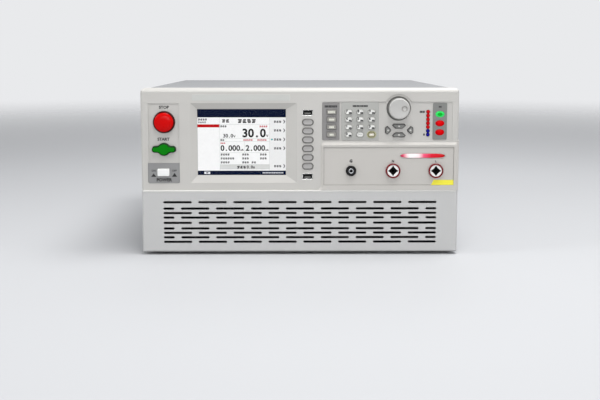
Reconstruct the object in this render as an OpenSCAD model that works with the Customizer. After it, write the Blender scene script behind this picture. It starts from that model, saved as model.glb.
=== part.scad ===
// Leakage current tester, a bench instrument. A moulded front carries a colour screen, sprung keys,
// a control knob and three output sockets. A slotted panel below it lets cooling air in, and a sheet
// metal case behind it holds the transformer, the amplifier, the boards and the fan.
// The front faces -Y, +X is to the right and +Z is up. The origin lies on the floor, under the middle
// of the instrument's outer box.

/* [Case] */
// Width of the front panel
panel_w = 430; // [390:1:480]
// Height of the front panel, both halves together
panel_h = 224; // [200:1:250]
// Depth of the case behind the front plane
case_depth = 450; // [405:5:500]
// Step from the front panel's edge in to the case
case_inset = 2.5; // [2:0.25:3]
// Thickness of the folded sheet of the cover and the rear panel
sheet_t = 1.5; // [1:0.25:2]
// Thickness of the base tray's floor
tray_t = 2; // [1.5:0.25:3]
// Outside radius of the cover's long bends
bend_r = 3; // [2.5:0.5:4]
// Height of the front panel's lower edge above the floor
panel_lift = 3.3; // [3:0.1:8]
// Radius of a rubber foot
foot_r = 14; // [10:1:18]
// Distance from the case's side to the middle of a foot
foot_inset = 40; // [25:5:60]

/* [Front mouldings] */
// Thickness of the front face
face_t = 3.5; // [3.3:0.1:4]
// Depth of the mouldings' rim
rim_d = 12; // [11.8:0.2:14]
// Thickness of the mouldings' rim
rim_t = 3.5; // [3:0.25:4]
// Radius of the two top corners, seen from the front
corner_r = 8; // [5:0.5:9]
// Radius of the two bottom corners, seen from the front
foot_corner_r = 3; // [2:0.5:5]
// Height of the crowned bevel along the top
top_edge_w = 5.2; // [4:0.2:6]
// Width of the crowned bevel along the sides and the foot
side_edge_w = 2.7; // [2:0.1:3.2]
// Depth of the crowned bevel
edge_d = 4.5; // [3.5:0.1:5]
// Width of the bevel along the seam between the two halves
seam_w = 2; // [1:0.1:2.2]
// Reach of the lower half in front of the upper half
lower_proud = 2; // [1:0.1:2.3]
// Depth of the shallow recesses round the controls
recess_d = 1; // [0.6:0.1:1.2]

/* [Air slots] */
// Length of a full slot
slot_w = 38.4; // [36:0.2:40]
// Height of a slot
slot_h = 3.1; // [2.5:0.1:3.6]
// Distance from one slot to the next in a row
slot_pitch = 47.5; // [46:0.1:48.5]
// Number of full slots in a long row
slot_count = 8; // [7:1:8]

/* [Screen] */
// Width of the visible screen
screen_w = 119.8; // [108:0.2:134]
// Height of the visible screen
screen_h = 89.8; // [86:0.2:91]
// Distance from the panel's left edge to the screen's middle
screen_inset = 136; // [134:0.5:138]
// Distance from the panel's top edge to the screen's middle
screen_drop = 73.5; // [72:0.5:75]
// Depth of the sloping surround
slope_d = 4; // [3.8:0.1:4.5]
// Thickness of the clear window
window_t = 1.5; // [1:0.1:2]
// Thickness of the display module
display_t = 8; // [6:0.5:10]

/* [Start column] */
// Distance from the panel's left edge to the middle of the switch column
column_inset = 31.3; // [30:0.1:32]
// Width of the shallow recess round the column
column_w = 41.3; // [40:0.1:42]
// Radius of the stop button
stop_r = 14.6; // [13:0.1:15.5]
// Reach of the stop button in front of the panel
stop_reach = 6; // [4:0.5:9]
// Travel of the stop and start buttons
switch_travel = 3; // [2:0.25:3.2]
// Full width of the start button
start_w = 32.4; // [30:0.1:34]
// Radius of the start button's middle hump
start_hump_r = 8.45; // [7.5:0.05:9]
// Height of the start button's two side lobes
start_lobe_h = 8.6; // [7:0.1:9]
// Reach of the start button in front of the panel
start_reach = 4; // [2:0.5:6]
// Width of the power button
power_w = 15.9; // [14:0.1:17]
// Height of the power button
power_h = 9.7; // [8:0.1:11]
// Reach of the power button in front of the panel
power_reach = 4.5; // [4.2:0.1:6]
// Travel of the power button
power_travel = 4; // [3:0.1:4]

/* [Keys] */
// Travel of the small keys
key_travel = 1.2; // [0.8:0.1:1.2]
// Reach of the small keys in front of the panel
key_reach = 1.4; // [1.2:0.1:2]
// Width of a soft key beside the screen
soft_w = 14.9; // [14:0.1:17]
// Height of a soft key beside the screen
soft_h = 8.5; // [7.5:0.1:9.3]
// Distance between the soft keys
soft_pitch = 11.95; // [11.8:0.05:12.1]
// Width of a function key
function_w = 12.4; // [11:0.1:15]
// Height of a function key
function_h = 6.3; // [5.5:0.1:7]
// Width of a number key
number_w = 9.5; // [8.5:0.1:12]
// Height of a number key
number_h = 6.4; // [5.8:0.1:7.4]
// Distance between the number keys' columns
number_pitch = 15.5; // [15:0.1:16]
// Distance between the rows of the function and number keys
row_pitch = 10.2; // [10:0.05:10.4]

/* [Control knob] */
// Radius of the knob
knob_r = 14.35; // [13:0.05:15]
// Reach of the knob in front of the panel
knob_reach = 10; // [8:0.5:14]
// Radius of the well that the knob stands in
knob_well_r = 16.45; // [15.8:0.05:17]
// Radius of the finger dimple in the knob's face
dimple_r = 3.95; // [3:0.05:4.5]
// Distance from the knob's axis to the finger dimple
dimple_offset = 7.1; // [6:0.1:8]
// Radius of the encoder's shaft
shaft_r = 3; // [2.5:0.05:3.2]

/* [Lamps] */
// Diameter of a round lamp
lamp_d = 5; // [4:0.1:5]
// Distance between the round lamps
lamp_pitch = 5.15; // [5.1:0.05:5.2]
// Width of an oval lamp
oval_w = 12.4; // [11:0.1:13]
// Height of an oval lamp
oval_h = 8.5; // [7:0.1:9]
// Distance between the oval lamps
oval_pitch = 12.25; // [12:0.05:12.5]

/* [Output sockets] */
// Height of the raised terminal panel
terminal_h = 65; // [64:0.5:66]
// Thickness of the raised terminal panel
terminal_t = 2.5; // [2:0.1:3]
// Radius of the hole that takes a test plug
plug_r = 2; // [2:0.05:2.2]
// Depth of the hole that takes a test plug
plug_depth = 19; // [15:0.5:22]
// Radius of the ground socket's collar
ground_r = 7.05; // [6.5:0.05:8]
// Radius of the two output sockets' collars
output_r = 9.95; // [9:0.05:11]
// Reach of the collars in front of the terminal panel
collar_reach = 3; // [2:0.25:5]
// Length of the warning light's lens
lens_w = 61.2; // [56:0.2:62]
// Height of the warning light's lens
lens_h = 6.5; // [5:0.1:8]

/* [Inside] */
// Width and height of the fan's frame
fan_w = 92; // [90:1:92]
// Depth of the fan's frame
fan_t = 25.4; // [22:0.2:28]
// Radius of the fan's shaft
fan_shaft_r = 2.5; // [2:0.1:3]
// Number of fan blades
blade_count = 7; // [5:1:9]
// Outside radius of the toroidal transformer
toroid_r = 70; // [60:1:75]
// Height of the toroidal transformer
toroid_h = 62; // [50:1:70]
// Length of the amplifier's heat sink
sink_l = 100; // [80:1:110]
// Height of the heat sink's fins above its base
fin_h = 52; // [40:1:60]
// Number of fins on the heat sink
fin_count = 13; // [9:1:15]
// Length of the earth stud behind the rear panel
stud_len = 16; // [14:0.5:24]
// Radius of the earth stud
stud_r = 3; // [2.5:0.5:4]

/* [Hidden] */
$fn = 48;
SOFT_COUNT = 6;
FUNCTION_COUNT = 4;
NUMBER_COLUMNS = 3;
NUMBER_NAMES = concat(["number_key_0", "clear_key", "enter_key"],
                      [for (i = [1:9]) str("number_key_", i)]);
ARROW_NAMES = ["arrow_key_up", "arrow_key_down", "arrow_key_left", "arrow_key_right"];

// Clearances: a key in its hole, a catch behind the face, a piece in its seat, a shaft in its bearing
key_gap = 0.4;
catch_gap = 0.3;
fit_gap = 0.2;
shaft_gap = 0.05;
cut = 1;
catch_w = 1;
catch_t = 1;
bevel = 0.7;
edge_crown_r = 9;

// Places that the panel's edges give
half_w = panel_w / 2;
case_half = half_w - case_inset;
case_drop = 1.5;
case_top = panel_h - case_drop;
inner_half = case_half - sheet_t - fit_gap;
frame_top = case_top - sheet_t - fit_gap;
tray_top = case_inset + tray_t;
rear_set = 2;
rear_face = case_depth - rear_set;
rear_inner = rear_face - sheet_t;
column_x = column_inset - half_w;
stop_x = column_x + 0.6;
screen_x = screen_inset - half_w;
screen_z = panel_h - screen_drop;

// The slotted lower half takes the height that the key panel and the terminal panel leave
pad_drop = 18.6;
pad_h = 52.6;
pad_gap = 2.3;
lower_h = panel_h - pad_drop - pad_h - pad_gap - terminal_h;

// The screen's surround: how far its slopes reach out from the screen, and the seat behind it
slope_left = 9;
slope_right = 14.9;
slope_top = 8.4;
slope_bottom = 10.1;
surround_w = slope_left + screen_w + slope_right;
surround_h = slope_bottom + screen_h + slope_top;
surround_right = screen_x + screen_w / 2 + slope_right;
surround_margin = 2.3;
screen_lip = 0.5;
window_near = slope_d + screen_lip;
window_far = window_near + window_t;
window_margin = 2;
display_margin = 9;
display_core_margin = 5;
display_step = 2;

// The column of switches
column_top_drop = 20.8;
column_h = 107.7;
stop_z = panel_h - 45.9;
stop_crown = 2;
stop_edge = 1.2;
start_z = panel_h - 82.7;
start_blend_r = 4;
power_plate_w = column_w + 1.4;
power_plate_h = 27.6;
power_plate_x = column_x - 0.6;
power_plate_z = panel_h - 115.2;
power_plate_r = 2;
power_x = column_x - 0.8;
power_z = power_plate_z + 1.4;
plate_t = 0.8;

// The soft keys beside the screen, and the sockets above and below them
soft_x = surround_right + 14.75;
soft_top_z = panel_h - 46.1;
usb_x = soft_x - 0.25;
usb_top_z = soft_top_z + 12.8;
usb_low_z = soft_top_z - (SOFT_COUNT - 1) * soft_pitch - 14;
usb_w = 12.9;
usb_h = 6.3;
usb_wall = 0.7;
usb_proud = 0.4;
usb_depth = 14.5;
usb_flange_t = 1.2;
usb_flange_w = usb_w + 5;
usb_flange_h = usb_h + 4.4;
tongue_w = 8.7;
tongue_h = 2.2;
tongue_drop = 1.2;
tongue_set = 1.5;

// The key panel stands in groups: function keys, number keys, arrow keys, round lamps, oval lamps. The
// gaps before, between and after them share the width that the groups leave over
pad_right = half_w - 9.3;
pad_r = 2.5;
pad_z = panel_h - pad_drop - pad_h / 2;
key_floor_z = pad_z - pad_h / 2 + 8.3;
key_plate_h = pad_h - 2.1;
plate_step = 1;
lamp_plate_r = 1.5;
function_plate_w = function_w + 10.8;
number_plate_w = (NUMBER_COLUMNS - 1) * number_pitch + number_w + 9.7;
arrow_step = 15.1;
arrow_span = 2 * arrow_step + 7.5;
lamp_plate_w = oval_w + 6.7;
group_w = [function_plate_w, number_plate_w, arrow_span, lamp_d, lamp_plate_w];
group_gaps = [10.8, 2.75, 8.85, 17.6, 3.9, 7.35];
group_start = usb_x + usb_flange_w / 2;
function total(list, n) = n == 0 ? 0 : list[n - 1] + total(list, n - 1);
gap_share = (pad_right - group_start - total(group_w, len(group_w))) / total(group_gaps, len(group_gaps));
function group_x(i) = group_start + total(group_w, i) + group_w[i] / 2 + gap_share * total(group_gaps, i + 1);
function_plate_x = group_x(0);
function_x = function_plate_x + 0.85;
number_plate_x = group_x(1);
number_x = number_plate_x - number_pitch;
arrow_x = group_x(2);
arrow_z = panel_h - 57.1;
lamp_x = group_x(3);
lamp_low_z = key_floor_z - 0.2;
lamp_count = 7;
lamp_proud = 0.2;
lamp_plate_x = group_x(4);
oval_low_z = key_floor_z + 3;
oval_count = 3;
oval_proud = 0.4;
pad_left = function_plate_x - function_plate_w / 2 - 0.45;
pad_w = pad_right - pad_left;
pad_x = (pad_left + pad_right) / 2;
knob_x = arrow_x - 1;
knob_z = panel_h - 27.6;
knob_ring_r = 19.5;
knob_clear = 0.5;
knob_edge = 1.2;
knob_boss_r = knob_well_r + 1.6;
knob_floor_t = 2;
well_d = 3;
dimple_d = 1.5;

// The raised terminal panel and what it carries
terminal_left = usb_x + 17.9;
terminal_top = lower_h + terminal_h;
terminal_bevel = 3;
terminal_r = 5.4;
flare_r = 6.5;
top_flare_r = 2.5;
join = 0.05;
inner_left = terminal_left + 3.8;
inner_right = half_w - 6.6;
inner_low = lower_h + 6.8;
inner_top = terminal_top - 6.2;
inner_d = 0.8;
socket_z = lower_h + 26.7;
ground_x = terminal_left + 40.8;
live_x = half_w - 31.2;
neutral_x = (ground_x + live_x) / 2 - 0.6;
ground_body_r = ground_r - 1.5;
output_body_r = output_r - 1.8;
collar_near = -terminal_t - collar_reach;
collar_seat = inner_d - terminal_t;
collar_wall = 1.9;
face_set = 1;
star_depth = 3;
socket_end = 4;
nut_t = 4;
nut_grip = 3.8;
lens_x = half_w - 49.1;
lens_z = lower_h + 47;
lens_reach = 1;
lens_flange = 1.5;

// The slot rows' heights above the panel's foot, as many as fit; they stand in four groups
slot_margin = 8;
slot_rows = [for (z = [14.6, 20.8, 27, 33.1, 40.8, 48.1, 54.3, 60.5, 69.2])
             if (z + slot_h / 2 < lower_h - slot_margin) z];
slot_field = (slot_count - 1) * slot_pitch + slot_w;
end_slot_w = slot_w - slot_pitch / 2;

// Depths behind the front plane at which the boards stand
catch_near = face_t + catch_gap;
catch_far = catch_near + catch_t;
switch_near = catch_far + key_travel + catch_gap;
key_board_d = switch_near + 2.8;
board_t = 1.6;
start_switch_near = catch_far + switch_travel + catch_gap;
power_switch_near = catch_far + power_travel + catch_gap;
switch_board_d = power_switch_near + 0.6;
post_r = 1.8;
post_edge = 5;
solder = 0.1;
tact_w = 5;
tact_r = 1.6;
tact_step = 0.8;
push_w = 12;
push_r = 3;
encoder_w = 12;
power_switch_w = 14;
power_switch_h = 9;
power_switch_l = 16;
switch_board_w = 31;
switch_low = power_plate_z - 11;
switch_high = stop_z + 22.5;
arrow_catch_w = 0.8;

// The keypad board has a strip behind the soft keys and a wide part behind the key panel
strip_left = soft_x - soft_w / 2 - 0.9;
strip_right = function_plate_x - function_plate_w / 2 - 3;
strip_low = usb_low_z + 8;
strip_high = usb_top_z - 7;
board_left = strip_right - post_edge;
board_right = lamp_plate_x + lamp_plate_w / 2 + 1.9;
board_low = key_floor_z - 10;
board_high = panel_h - 16;

// The fan and the rear panel's fittings
fan_x = 95 - half_w;
fan_z = tray_top + fan_w / 2 + 12;
fan_y = rear_inner - fan_t;
fan_hole_offset = fan_w / 2 - 4.75;
fan_screw_r = 2;
duct_r = fan_w / 2 - 2.5;
hub_r = 19;
hub_set = 2;
hub_end = 5;
spoke_w = 4;
guard_ring_w = 3.6;
guard_pitch = 6.4;
inlet_x = half_w - 65;
inlet_z = 45;
inlet_w = 27;
inlet_h = 46;
inlet_d = 28;
inlet_lip = 2.5;
inlet_deep = 16;
interface_x = inlet_x - 75;
interface_z = inlet_z;
interface_w = 19;
interface_h = 10;
stud_x = inlet_x - 40;
stud_z = inlet_z - 5;
stud_nut_t = 4;

// The case: its screws as depth and height, flanges, posts and side vents
screw_r = 1.5;
screw_head_r = 3;
screw_head_t = 1.8;
screw_z = case_inset + 12.5;
flange_h = 25;
flange_d = 14;
post_w = 10;
sill_h = 6;
lintel_h = 15;
boss_r = 4;
boss_x = half_w - 9;
boss_edge = 11;
fan_screw_l = 18;
tray_screws = [for (y = [rim_d + 30, (rim_d + case_depth) / 2, case_depth - 30]) [y, screw_z]];
rear_screws = [for (z = [case_top / 2 - 11, case_top - 32]) [rear_inner - flange_d / 2, z]];
vent_count = 12;
vent_pitch = 9;
vent_h = 50;
vent_w = 4;
vent_set = 150;
vent_z = case_top / 2 - 26;

// What stands on the tray
toroid_x = half_w - 120;
toroid_y = case_depth / 2 + 15;
toroid_hole_r = 22;
toroid_pad_t = 3;
toroid_round_r = 10;
sink_base_t = 8;
sink_leg_h = 10;
sink_leg_r = 4;
fin_pitch = 9;
fin_t = 2.4;
main_board_w = 176;
main_board_l = 172;
main_board_x = 27 - half_w;
main_board_y = rim_d + 54;
main_board_lift = 8;
relay_w = 16;
relay_l = 27;
relay_h = 14;
capacitor_r = 10;
capacitor_h = 32;
chip_t = 4;

// The whole instrument's reach, which puts the origin under the middle of its outer box
front_reach = max(knob_reach, stop_reach, terminal_t + collar_reach);
rear_end = rear_face + stud_len;
front_y = front_reach - (front_reach + rear_end) / 2;

// Helpers: everything below is drawn with y as the depth behind the front plane and z as the height
// above the front panel's lower edge, and seat() puts it in its place
module seat() {
  translate([0, front_y, panel_lift]) children();
}

// An outline seen from the front, given thickness between two depths
module slab(x, z, near, far) {
  translate([x, far, z]) rotate([90, 0, 0]) linear_extrude(far - near) children();
}

// A round piece seen from the front, whose radius may differ at its two ends
module round_bar(x, z, near, far, near_r, far_r) {
  translate([x, far, z]) rotate([90, 0, 0]) cylinder(h = far - near, r1 = far_r, r2 = near_r);
}

// A round piece turned from its half section, given as pairs of radius and depth
module turned(x, z, section) {
  translate([x, 0, z]) rotate([-90, 0, 0]) rotate_extrude() polygon(section);
}

// A section in y and z, carried along x
module along_x(x0, x1) {
  translate([x0, 0, 0]) rotate([90, 0, 90]) linear_extrude(x1 - x0) children();
}

// A box between two limits on each axis
module block(x, y, z) {
  translate([x[0], y[0], z[0]]) cube([x[1] - x[0], y[1] - y[0], z[1] - z[0]]);
}

module pill(w, h) {
  r = h / 2;
  square([w - h, h], center = true);
  for (s = [-1, 1]) translate([s * (w / 2 - r), 0]) circle(r);
}

module round_rect(w, h, r) {
  square([w - 2 * r, h], center = true);
  square([w, h - 2 * r], center = true);
  for (x = [-1, 1], y = [-1, 1]) translate([x * (w / 2 - r), y * (h / 2 - r)]) circle(r);
}

// The waste outside a crowned bevel, as distance in from the edge and depth. The bevel is an arc through
// its two ends, and the arc's middle lies behind the middle of their chord
module edge_waste(w) {
  chord = sqrt(pow(w, 2) + pow(edge_d, 2));
  rise = sqrt(pow(edge_crown_r, 2) - pow(chord / 2, 2));
  difference() {
    polygon([[-cut, -cut], [w, -cut], [w, 0], [0, edge_d], [-cut, edge_d]]);
    translate([w / 2 + rise * edge_d / chord, edge_d / 2 + rise * w / chord]) circle(edge_crown_r);
  }
}

// Outlines of the controls, grown all round by a clearance or a catch
module start_outline(grow) {
  hump = start_hump_r + grow;
  lobe = start_lobe_h / 2 + grow;
  blend = start_blend_r - grow;
  rise = lobe + blend;
  run = sqrt(pow(hump + blend, 2) - pow(rise, 2));
  circle(hump);
  pill(start_w + 2 * grow, 2 * lobe);
  for (x = [0, 1], y = [0, 1]) mirror([x, 0]) mirror([0, y])
    difference() {
      polygon([[0, 0], [run, rise], [run, 0]]);
      translate([run, rise]) circle(blend);
    }
}

// Up and down keys are flat hexagons cut from a bar; left and right keys point at the middle
function arrow_points(side) =
  side < 2
  ? [for (p = [[-7, 2.95], [7, 2.95], [9.1, 0.9], [4.6, -2.95], [-4.6, -2.95], [-9.1, 0.9]])
     [p[0], side == 0 ? p[1] : -p[1]]]
  : [for (p = [[-3.75, 3.2], [-0.6, 5.5], [3.75, 1.2], [3.75, -1.2], [-0.6, -5.5], [-3.75, -3.2]])
     [side == 2 ? p[0] : -p[0], p[1]]];
arrow_places = [[-0.3, 5.5], [-0.3, -6.2], [-arrow_step, 0], [arrow_step, 0]];

// An arrow outline grown by an even share of its size, which keeps its corners
module arrow_outline(side, grow) {
  points = arrow_points(side);
  half_x = max([for (p = points) p[0]]);
  half_y = max([for (p = points) p[1]]);
  polygon([for (p = points) [p[0] * (1 + grow / half_x), p[1] * (1 + grow / half_y)]]);
}

// Where each kind of key stands
function soft_place(i) = [soft_x, soft_top_z - i * soft_pitch];
function function_place(i) = [function_x, key_floor_z + i * row_pitch];
function number_place(i) =
  [number_x + (i % NUMBER_COLUMNS) * number_pitch, key_floor_z + floor(i / NUMBER_COLUMNS) * row_pitch];
function arrow_place(i) = [arrow_x, arrow_z] + arrow_places[i];
small_key_places = concat(
  [for (i = [0:SOFT_COUNT - 1]) soft_place(i)],
  [for (i = [0:FUNCTION_COUNT - 1]) function_place(i)],
  [for (i = [0:len(NUMBER_NAMES) - 1]) number_place(i)],
  [for (i = [0:len(ARROW_NAMES) - 1]) arrow_place(i)]);

// The two moulded halves of the front, and the waste along their bevelled outer edges
module side_waste(side, z0, z1) {
  translate([side * half_w, 0, z0]) mirror([side > 0 ? 1 : 0, 0, 0])
    linear_extrude(z1 - z0) edge_waste(side_edge_w);
}

module level_waste(w) {
  along_x(-half_w - cut, half_w + cut) mirror([1, -1]) edge_waste(w);
}

module upper_shell() {
  difference() {
    slab(0, 0, 0, rim_d) {
      translate([-half_w, lower_h]) square([panel_w, panel_h - lower_h - corner_r]);
      translate([corner_r - half_w, lower_h]) square([panel_w - 2 * corner_r, panel_h - lower_h]);
      for (s = [-1, 1]) translate([s * (half_w - corner_r), panel_h - corner_r]) circle(corner_r);
    }
    block([rim_t - half_w, half_w - rim_t], [face_t, rim_d + cut], [lower_h + rim_t, panel_h - rim_t]);
    translate([0, 0, panel_h]) mirror([0, 0, 1]) level_waste(top_edge_w);
    side_waste(-1, lower_h - cut, panel_h + cut);
    side_waste(1, terminal_top + top_flare_r, panel_h + cut);
  }
}

module frame_bosses(heights, near) {
  for (s = [-1, 1], z = heights)
    round_bar(s * boss_x, z, near, rim_d, boss_r, boss_r);
}

module board_posts(places, far) {
  for (p = places) round_bar(p[0], p[1], face_t - cut, far, post_r, post_r);
}

// Posts stand in the gaps between the keys
post_columns = [
  (group_start + function_x - function_w / 2) / 2,
  (number_plate_x + number_plate_w / 2 + arrow_x - arrow_span / 2) / 2 - post_r,
  (arrow_x + arrow_span / 2 + lamp_x - lamp_d / 2) / 2,
  lamp_plate_x + oval_w / 2 + post_edge / 2];
key_post_places = concat(
  [[strip_right - post_edge / 2, strip_low + post_edge / 2]],
  [for (x = post_columns, z = [key_floor_z - post_edge, board_high - post_edge]) [x, z]]);
switch_post_places = [
  for (x = [-1, 1],
       z = [switch_high - post_edge / 2, (stop_z + start_z) / 2 - 3.7, switch_low + post_edge / 2])
    [column_x + x * (switch_board_w - post_edge) / 2, z]];

// The four sloping faces that lead from the front plane down to the screen
module screen_slope() {
  left = -screen_w / 2;
  right = screen_w / 2;
  low = -screen_h / 2;
  high = screen_h / 2;
  intersection() {
    translate([screen_x, 0, screen_z + low - slope_bottom - cut])
      linear_extrude(surround_h + 2 * cut)
        polygon([[left - slope_left, -cut], [left - slope_left, 0], [left, slope_d], [right, slope_d],
                 [right + slope_right, 0], [right + slope_right, -cut]]);
    along_x(screen_x + left - slope_left - cut, screen_x + right + slope_right + cut)
      translate([0, screen_z])
        polygon([[-cut, low - slope_bottom], [0, low - slope_bottom], [slope_d, low], [slope_d, high],
                 [0, high + slope_top], [-cut, high + slope_top]]);
  }
}

module surround_block() {
  slab(screen_x + (slope_right - slope_left) / 2, screen_z + (slope_top - slope_bottom) / 2,
       face_t - cut, window_far)
    square([surround_w + 2 * surround_margin, surround_h + 2 * surround_margin], center = true);
}

module power_plate_outline(grow) {
  w = power_plate_w + 2 * grow;
  h = power_plate_h + 2 * grow;
  round_rect(w, h, power_plate_r);
  translate([-w / 2, 0]) square([w, h / 2]);
}

// A row of round holes, which run into each other
module lamp_holes(near, far) {
  for (i = [0:lamp_count - 1])
    round_bar(lamp_x, lamp_low_z + i * lamp_pitch, near, far, lamp_d / 2 + fit_gap, lamp_d / 2 + fit_gap);
}

module key_holes(near, far) {
  for (i = [0:SOFT_COUNT - 1])
    slab(soft_place(i)[0], soft_place(i)[1], near, far) pill(soft_w + 2 * key_gap, soft_h + 2 * key_gap);
  function_holes(near, far);
  number_holes(near, far);
  for (i = [0:len(ARROW_NAMES) - 1])
    slab(arrow_place(i)[0], arrow_place(i)[1], near, far) arrow_outline(i, key_gap);
  slab(column_x, start_z, near, far) start_outline(key_gap);
  round_bar(stop_x, stop_z, near, far, stop_r + key_gap, stop_r + key_gap);
  power_hole(near, far);
}

module function_holes(near, far) {
  for (i = [0:FUNCTION_COUNT - 1])
    slab(function_place(i)[0], function_place(i)[1], near, far)
      square([function_w + 2 * key_gap, function_h + 2 * key_gap], center = true);
}

module number_holes(near, far) {
  for (i = [0:len(NUMBER_NAMES) - 1])
    slab(number_place(i)[0], number_place(i)[1], near, far)
      pill(number_w + 2 * key_gap, number_h + 2 * key_gap);
}

module power_hole(near, far) {
  slab(power_x, power_z, near, far) square([power_w + 2 * key_gap, power_h + 2 * key_gap], center = true);
}

module oval_holes(near, far) {
  for (i = [0:oval_count - 1])
    slab(lamp_plate_x, oval_low_z + i * oval_pitch, near, far)
      pill(oval_w + 2 * fit_gap, oval_h + 2 * fit_gap);
}

module socket_holes(near, far) {
  round_bar(ground_x, socket_z, near, far, ground_body_r + fit_gap, ground_body_r + fit_gap);
  for (x = [neutral_x, live_x])
    round_bar(x, socket_z, near, far, output_body_r + fit_gap, output_body_r + fit_gap);
  slab(lens_x, lens_z, near, far) pill(lens_w + 2 * fit_gap, lens_h + 2 * fit_gap);
}

module usb_holes() {
  for (z = [usb_top_z, usb_low_z])
    slab(usb_x, z, -cut, face_t + cut)
      square([usb_w + 2 * (usb_wall + fit_gap), usb_h + 2 * (usb_wall + fit_gap)], center = true);
}

module front_bezel() color("#c6c7c2") difference() {
  union() {
    upper_shell();
    surround_block();
    round_bar(knob_x, knob_z, face_t - cut, well_d + knob_floor_t, knob_boss_r, knob_boss_r);
    frame_bosses([lower_h + boss_edge, panel_h - boss_edge], face_t - cut);
    board_posts(key_post_places, key_board_d);
    board_posts(switch_post_places, switch_board_d);
  }
  screen_slope();
  slab(screen_x, screen_z, slope_d - cut, window_far) square([screen_w, screen_h], center = true);
  slab(screen_x, screen_z, window_near, window_far + cut)
    square([screen_w + 2 * window_margin, screen_h + 2 * window_margin], center = true);
  slab(column_x, panel_h - column_top_drop - column_h / 2, -cut, recess_d)
    square([column_w, column_h], center = true);
  slab(power_plate_x, power_plate_z, -cut, recess_d) power_plate_outline(fit_gap);
  slab(pad_x, pad_z, -cut, recess_d) round_rect(pad_w, pad_h, pad_r);
  round_bar(knob_x, knob_z, -cut, recess_d, knob_ring_r, knob_ring_r);
  round_bar(knob_x, knob_z, -cut, well_d, knob_well_r, knob_well_r);
  round_bar(knob_x, knob_z, 0, well_d + knob_floor_t + cut, shaft_r + catch_gap, shaft_r + catch_gap);
  key_holes(-cut, face_t + cut);
  usb_holes();
  lamp_holes(-cut, face_t + cut);
  oval_holes(-cut, face_t + cut);
  socket_holes(-cut, face_t + cut);
}

module slot_pattern() {
  for (row = [0:len(slot_rows) - 1]) translate([0, slot_rows[row]])
    if (row % 2 == 0)
      for (i = [0:slot_count - 1])
        translate([(i - (slot_count - 1) / 2) * slot_pitch, 0]) pill(slot_w, slot_h);
    else {
      for (i = [0:slot_count - 2])
        translate([(i - (slot_count - 2) / 2) * slot_pitch, 0]) pill(slot_w, slot_h);
      for (s = [-1, 1])
        translate([s * (slot_field - end_slot_w) / 2, 0]) pill(end_slot_w, slot_h);
    }
}

// The lower half stands proud of the upper half, with a bevel along its upper edge
module lower_grille() color("#c2c2c2") {
  translate([0, -lower_proud, 0]) difference() {
    slab(0, 0, 0, rim_d + lower_proud) {
      translate([-half_w, foot_corner_r]) square([panel_w, lower_h - foot_corner_r]);
      translate([foot_corner_r - half_w, 0]) square([panel_w - 2 * foot_corner_r, lower_h]);
      for (s = [-1, 1]) translate([s * (half_w - foot_corner_r), foot_corner_r]) circle(foot_corner_r);
    }
    block([rim_t - half_w, half_w - rim_t], [face_t, rim_d + lower_proud + cut], [rim_t, lower_h - rim_t]);
    along_x(-half_w - cut, half_w + cut)
      polygon([[-cut, lower_h - seam_w - cut], [seam_w + cut, lower_h + cut], [-cut, lower_h + cut]]);
    level_waste(side_edge_w);
    for (s = [-1, 1]) side_waste(s, -cut, lower_h + cut);
    slab(0, 0, -cut, face_t + cut) slot_pattern();
  }
  frame_bosses([boss_edge, lower_h - boss_edge], face_t - lower_proud - cut);
}

// The raised terminal panel: bevelled on its left and top edges, with a flare at each end of the bevel
module terminal_body() {
  near = -terminal_t;
  right = half_w - terminal_t;
  corner_x = terminal_left + terminal_r;
  corner_z = terminal_top - terminal_r;
  translate([0, 0, lower_h]) linear_extrude(corner_z - lower_h)
    polygon([[terminal_left, 0], [half_w - cut, 0], [right, near], [terminal_left + terminal_bevel, near]]);
  along_x(corner_x, right)
    polygon([[0, lower_h], [0, terminal_top], [near, terminal_top - terminal_bevel], [near, lower_h]]);
  round_bar(corner_x, corner_z, near, 0, terminal_r - terminal_bevel, terminal_r);
  difference() {
    block([terminal_left - flare_r, corner_x], [near, 0], [lower_h, lower_h + flare_r]);
    round_bar(terminal_left - flare_r, lower_h + flare_r, near, 0, flare_r + terminal_bevel, flare_r);
  }
  difference() {
    block([right - top_flare_r, right], [near, 0], [corner_z, terminal_top + top_flare_r]);
    round_bar(right - top_flare_r, terminal_top + top_flare_r, near, 0,
              top_flare_r + terminal_bevel, top_flare_r);
  }
  intersection() {
    block([right - join, half_w], [near, 0], [lower_h, terminal_top + top_flare_r]);
    translate([right, 0, lower_h]) cylinder(r = terminal_t, h = terminal_h + top_flare_r);
  }
}

module terminal_panel() color("#c9c9c5") difference() {
  terminal_body();
  slab((inner_left + inner_right) / 2, (inner_low + inner_top) / 2, -terminal_t - cut, inner_d - terminal_t)
    square([inner_right - inner_left, inner_top - inner_low], center = true);
  socket_holes(-terminal_t - cut, cut);
}

// The screen
module screen_window() color("#e8eef4") {
  slab(screen_x, screen_z, window_near, window_far)
    square([screen_w + 2 * (window_margin - fit_gap), screen_h + 2 * (window_margin - fit_gap)],
           center = true);
}

module display_module() color("#8d9094") {
  frame_w = 2 * display_margin;
  core_w = 2 * display_core_margin;
  slab(screen_x, screen_z, window_far, window_far + display_t - display_step)
    square([screen_w + frame_w, screen_h + frame_w], center = true);
  slab(screen_x, screen_z, window_far, window_far + display_t)
    square([screen_w - core_w, screen_h - core_w], center = true);
}

// The plates let into the recesses
module power_plate() color("#898989") difference() {
  slab(power_plate_x, power_plate_z, recess_d - plate_t, recess_d) power_plate_outline(0);
  power_hole(-cut, face_t);
}

module function_plate() color("#8e8c8b") difference() {
  slab(function_plate_x, pad_z, recess_d - plate_t, recess_d)
    square([function_plate_w, key_plate_h], center = true);
  function_holes(-cut, face_t);
}

module number_plate() color("#afafab") difference() {
  slab(number_plate_x, pad_z, recess_d - plate_t, recess_d)
    square([number_plate_w, key_plate_h + plate_step], center = true);
  number_holes(-cut, face_t);
}

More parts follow.
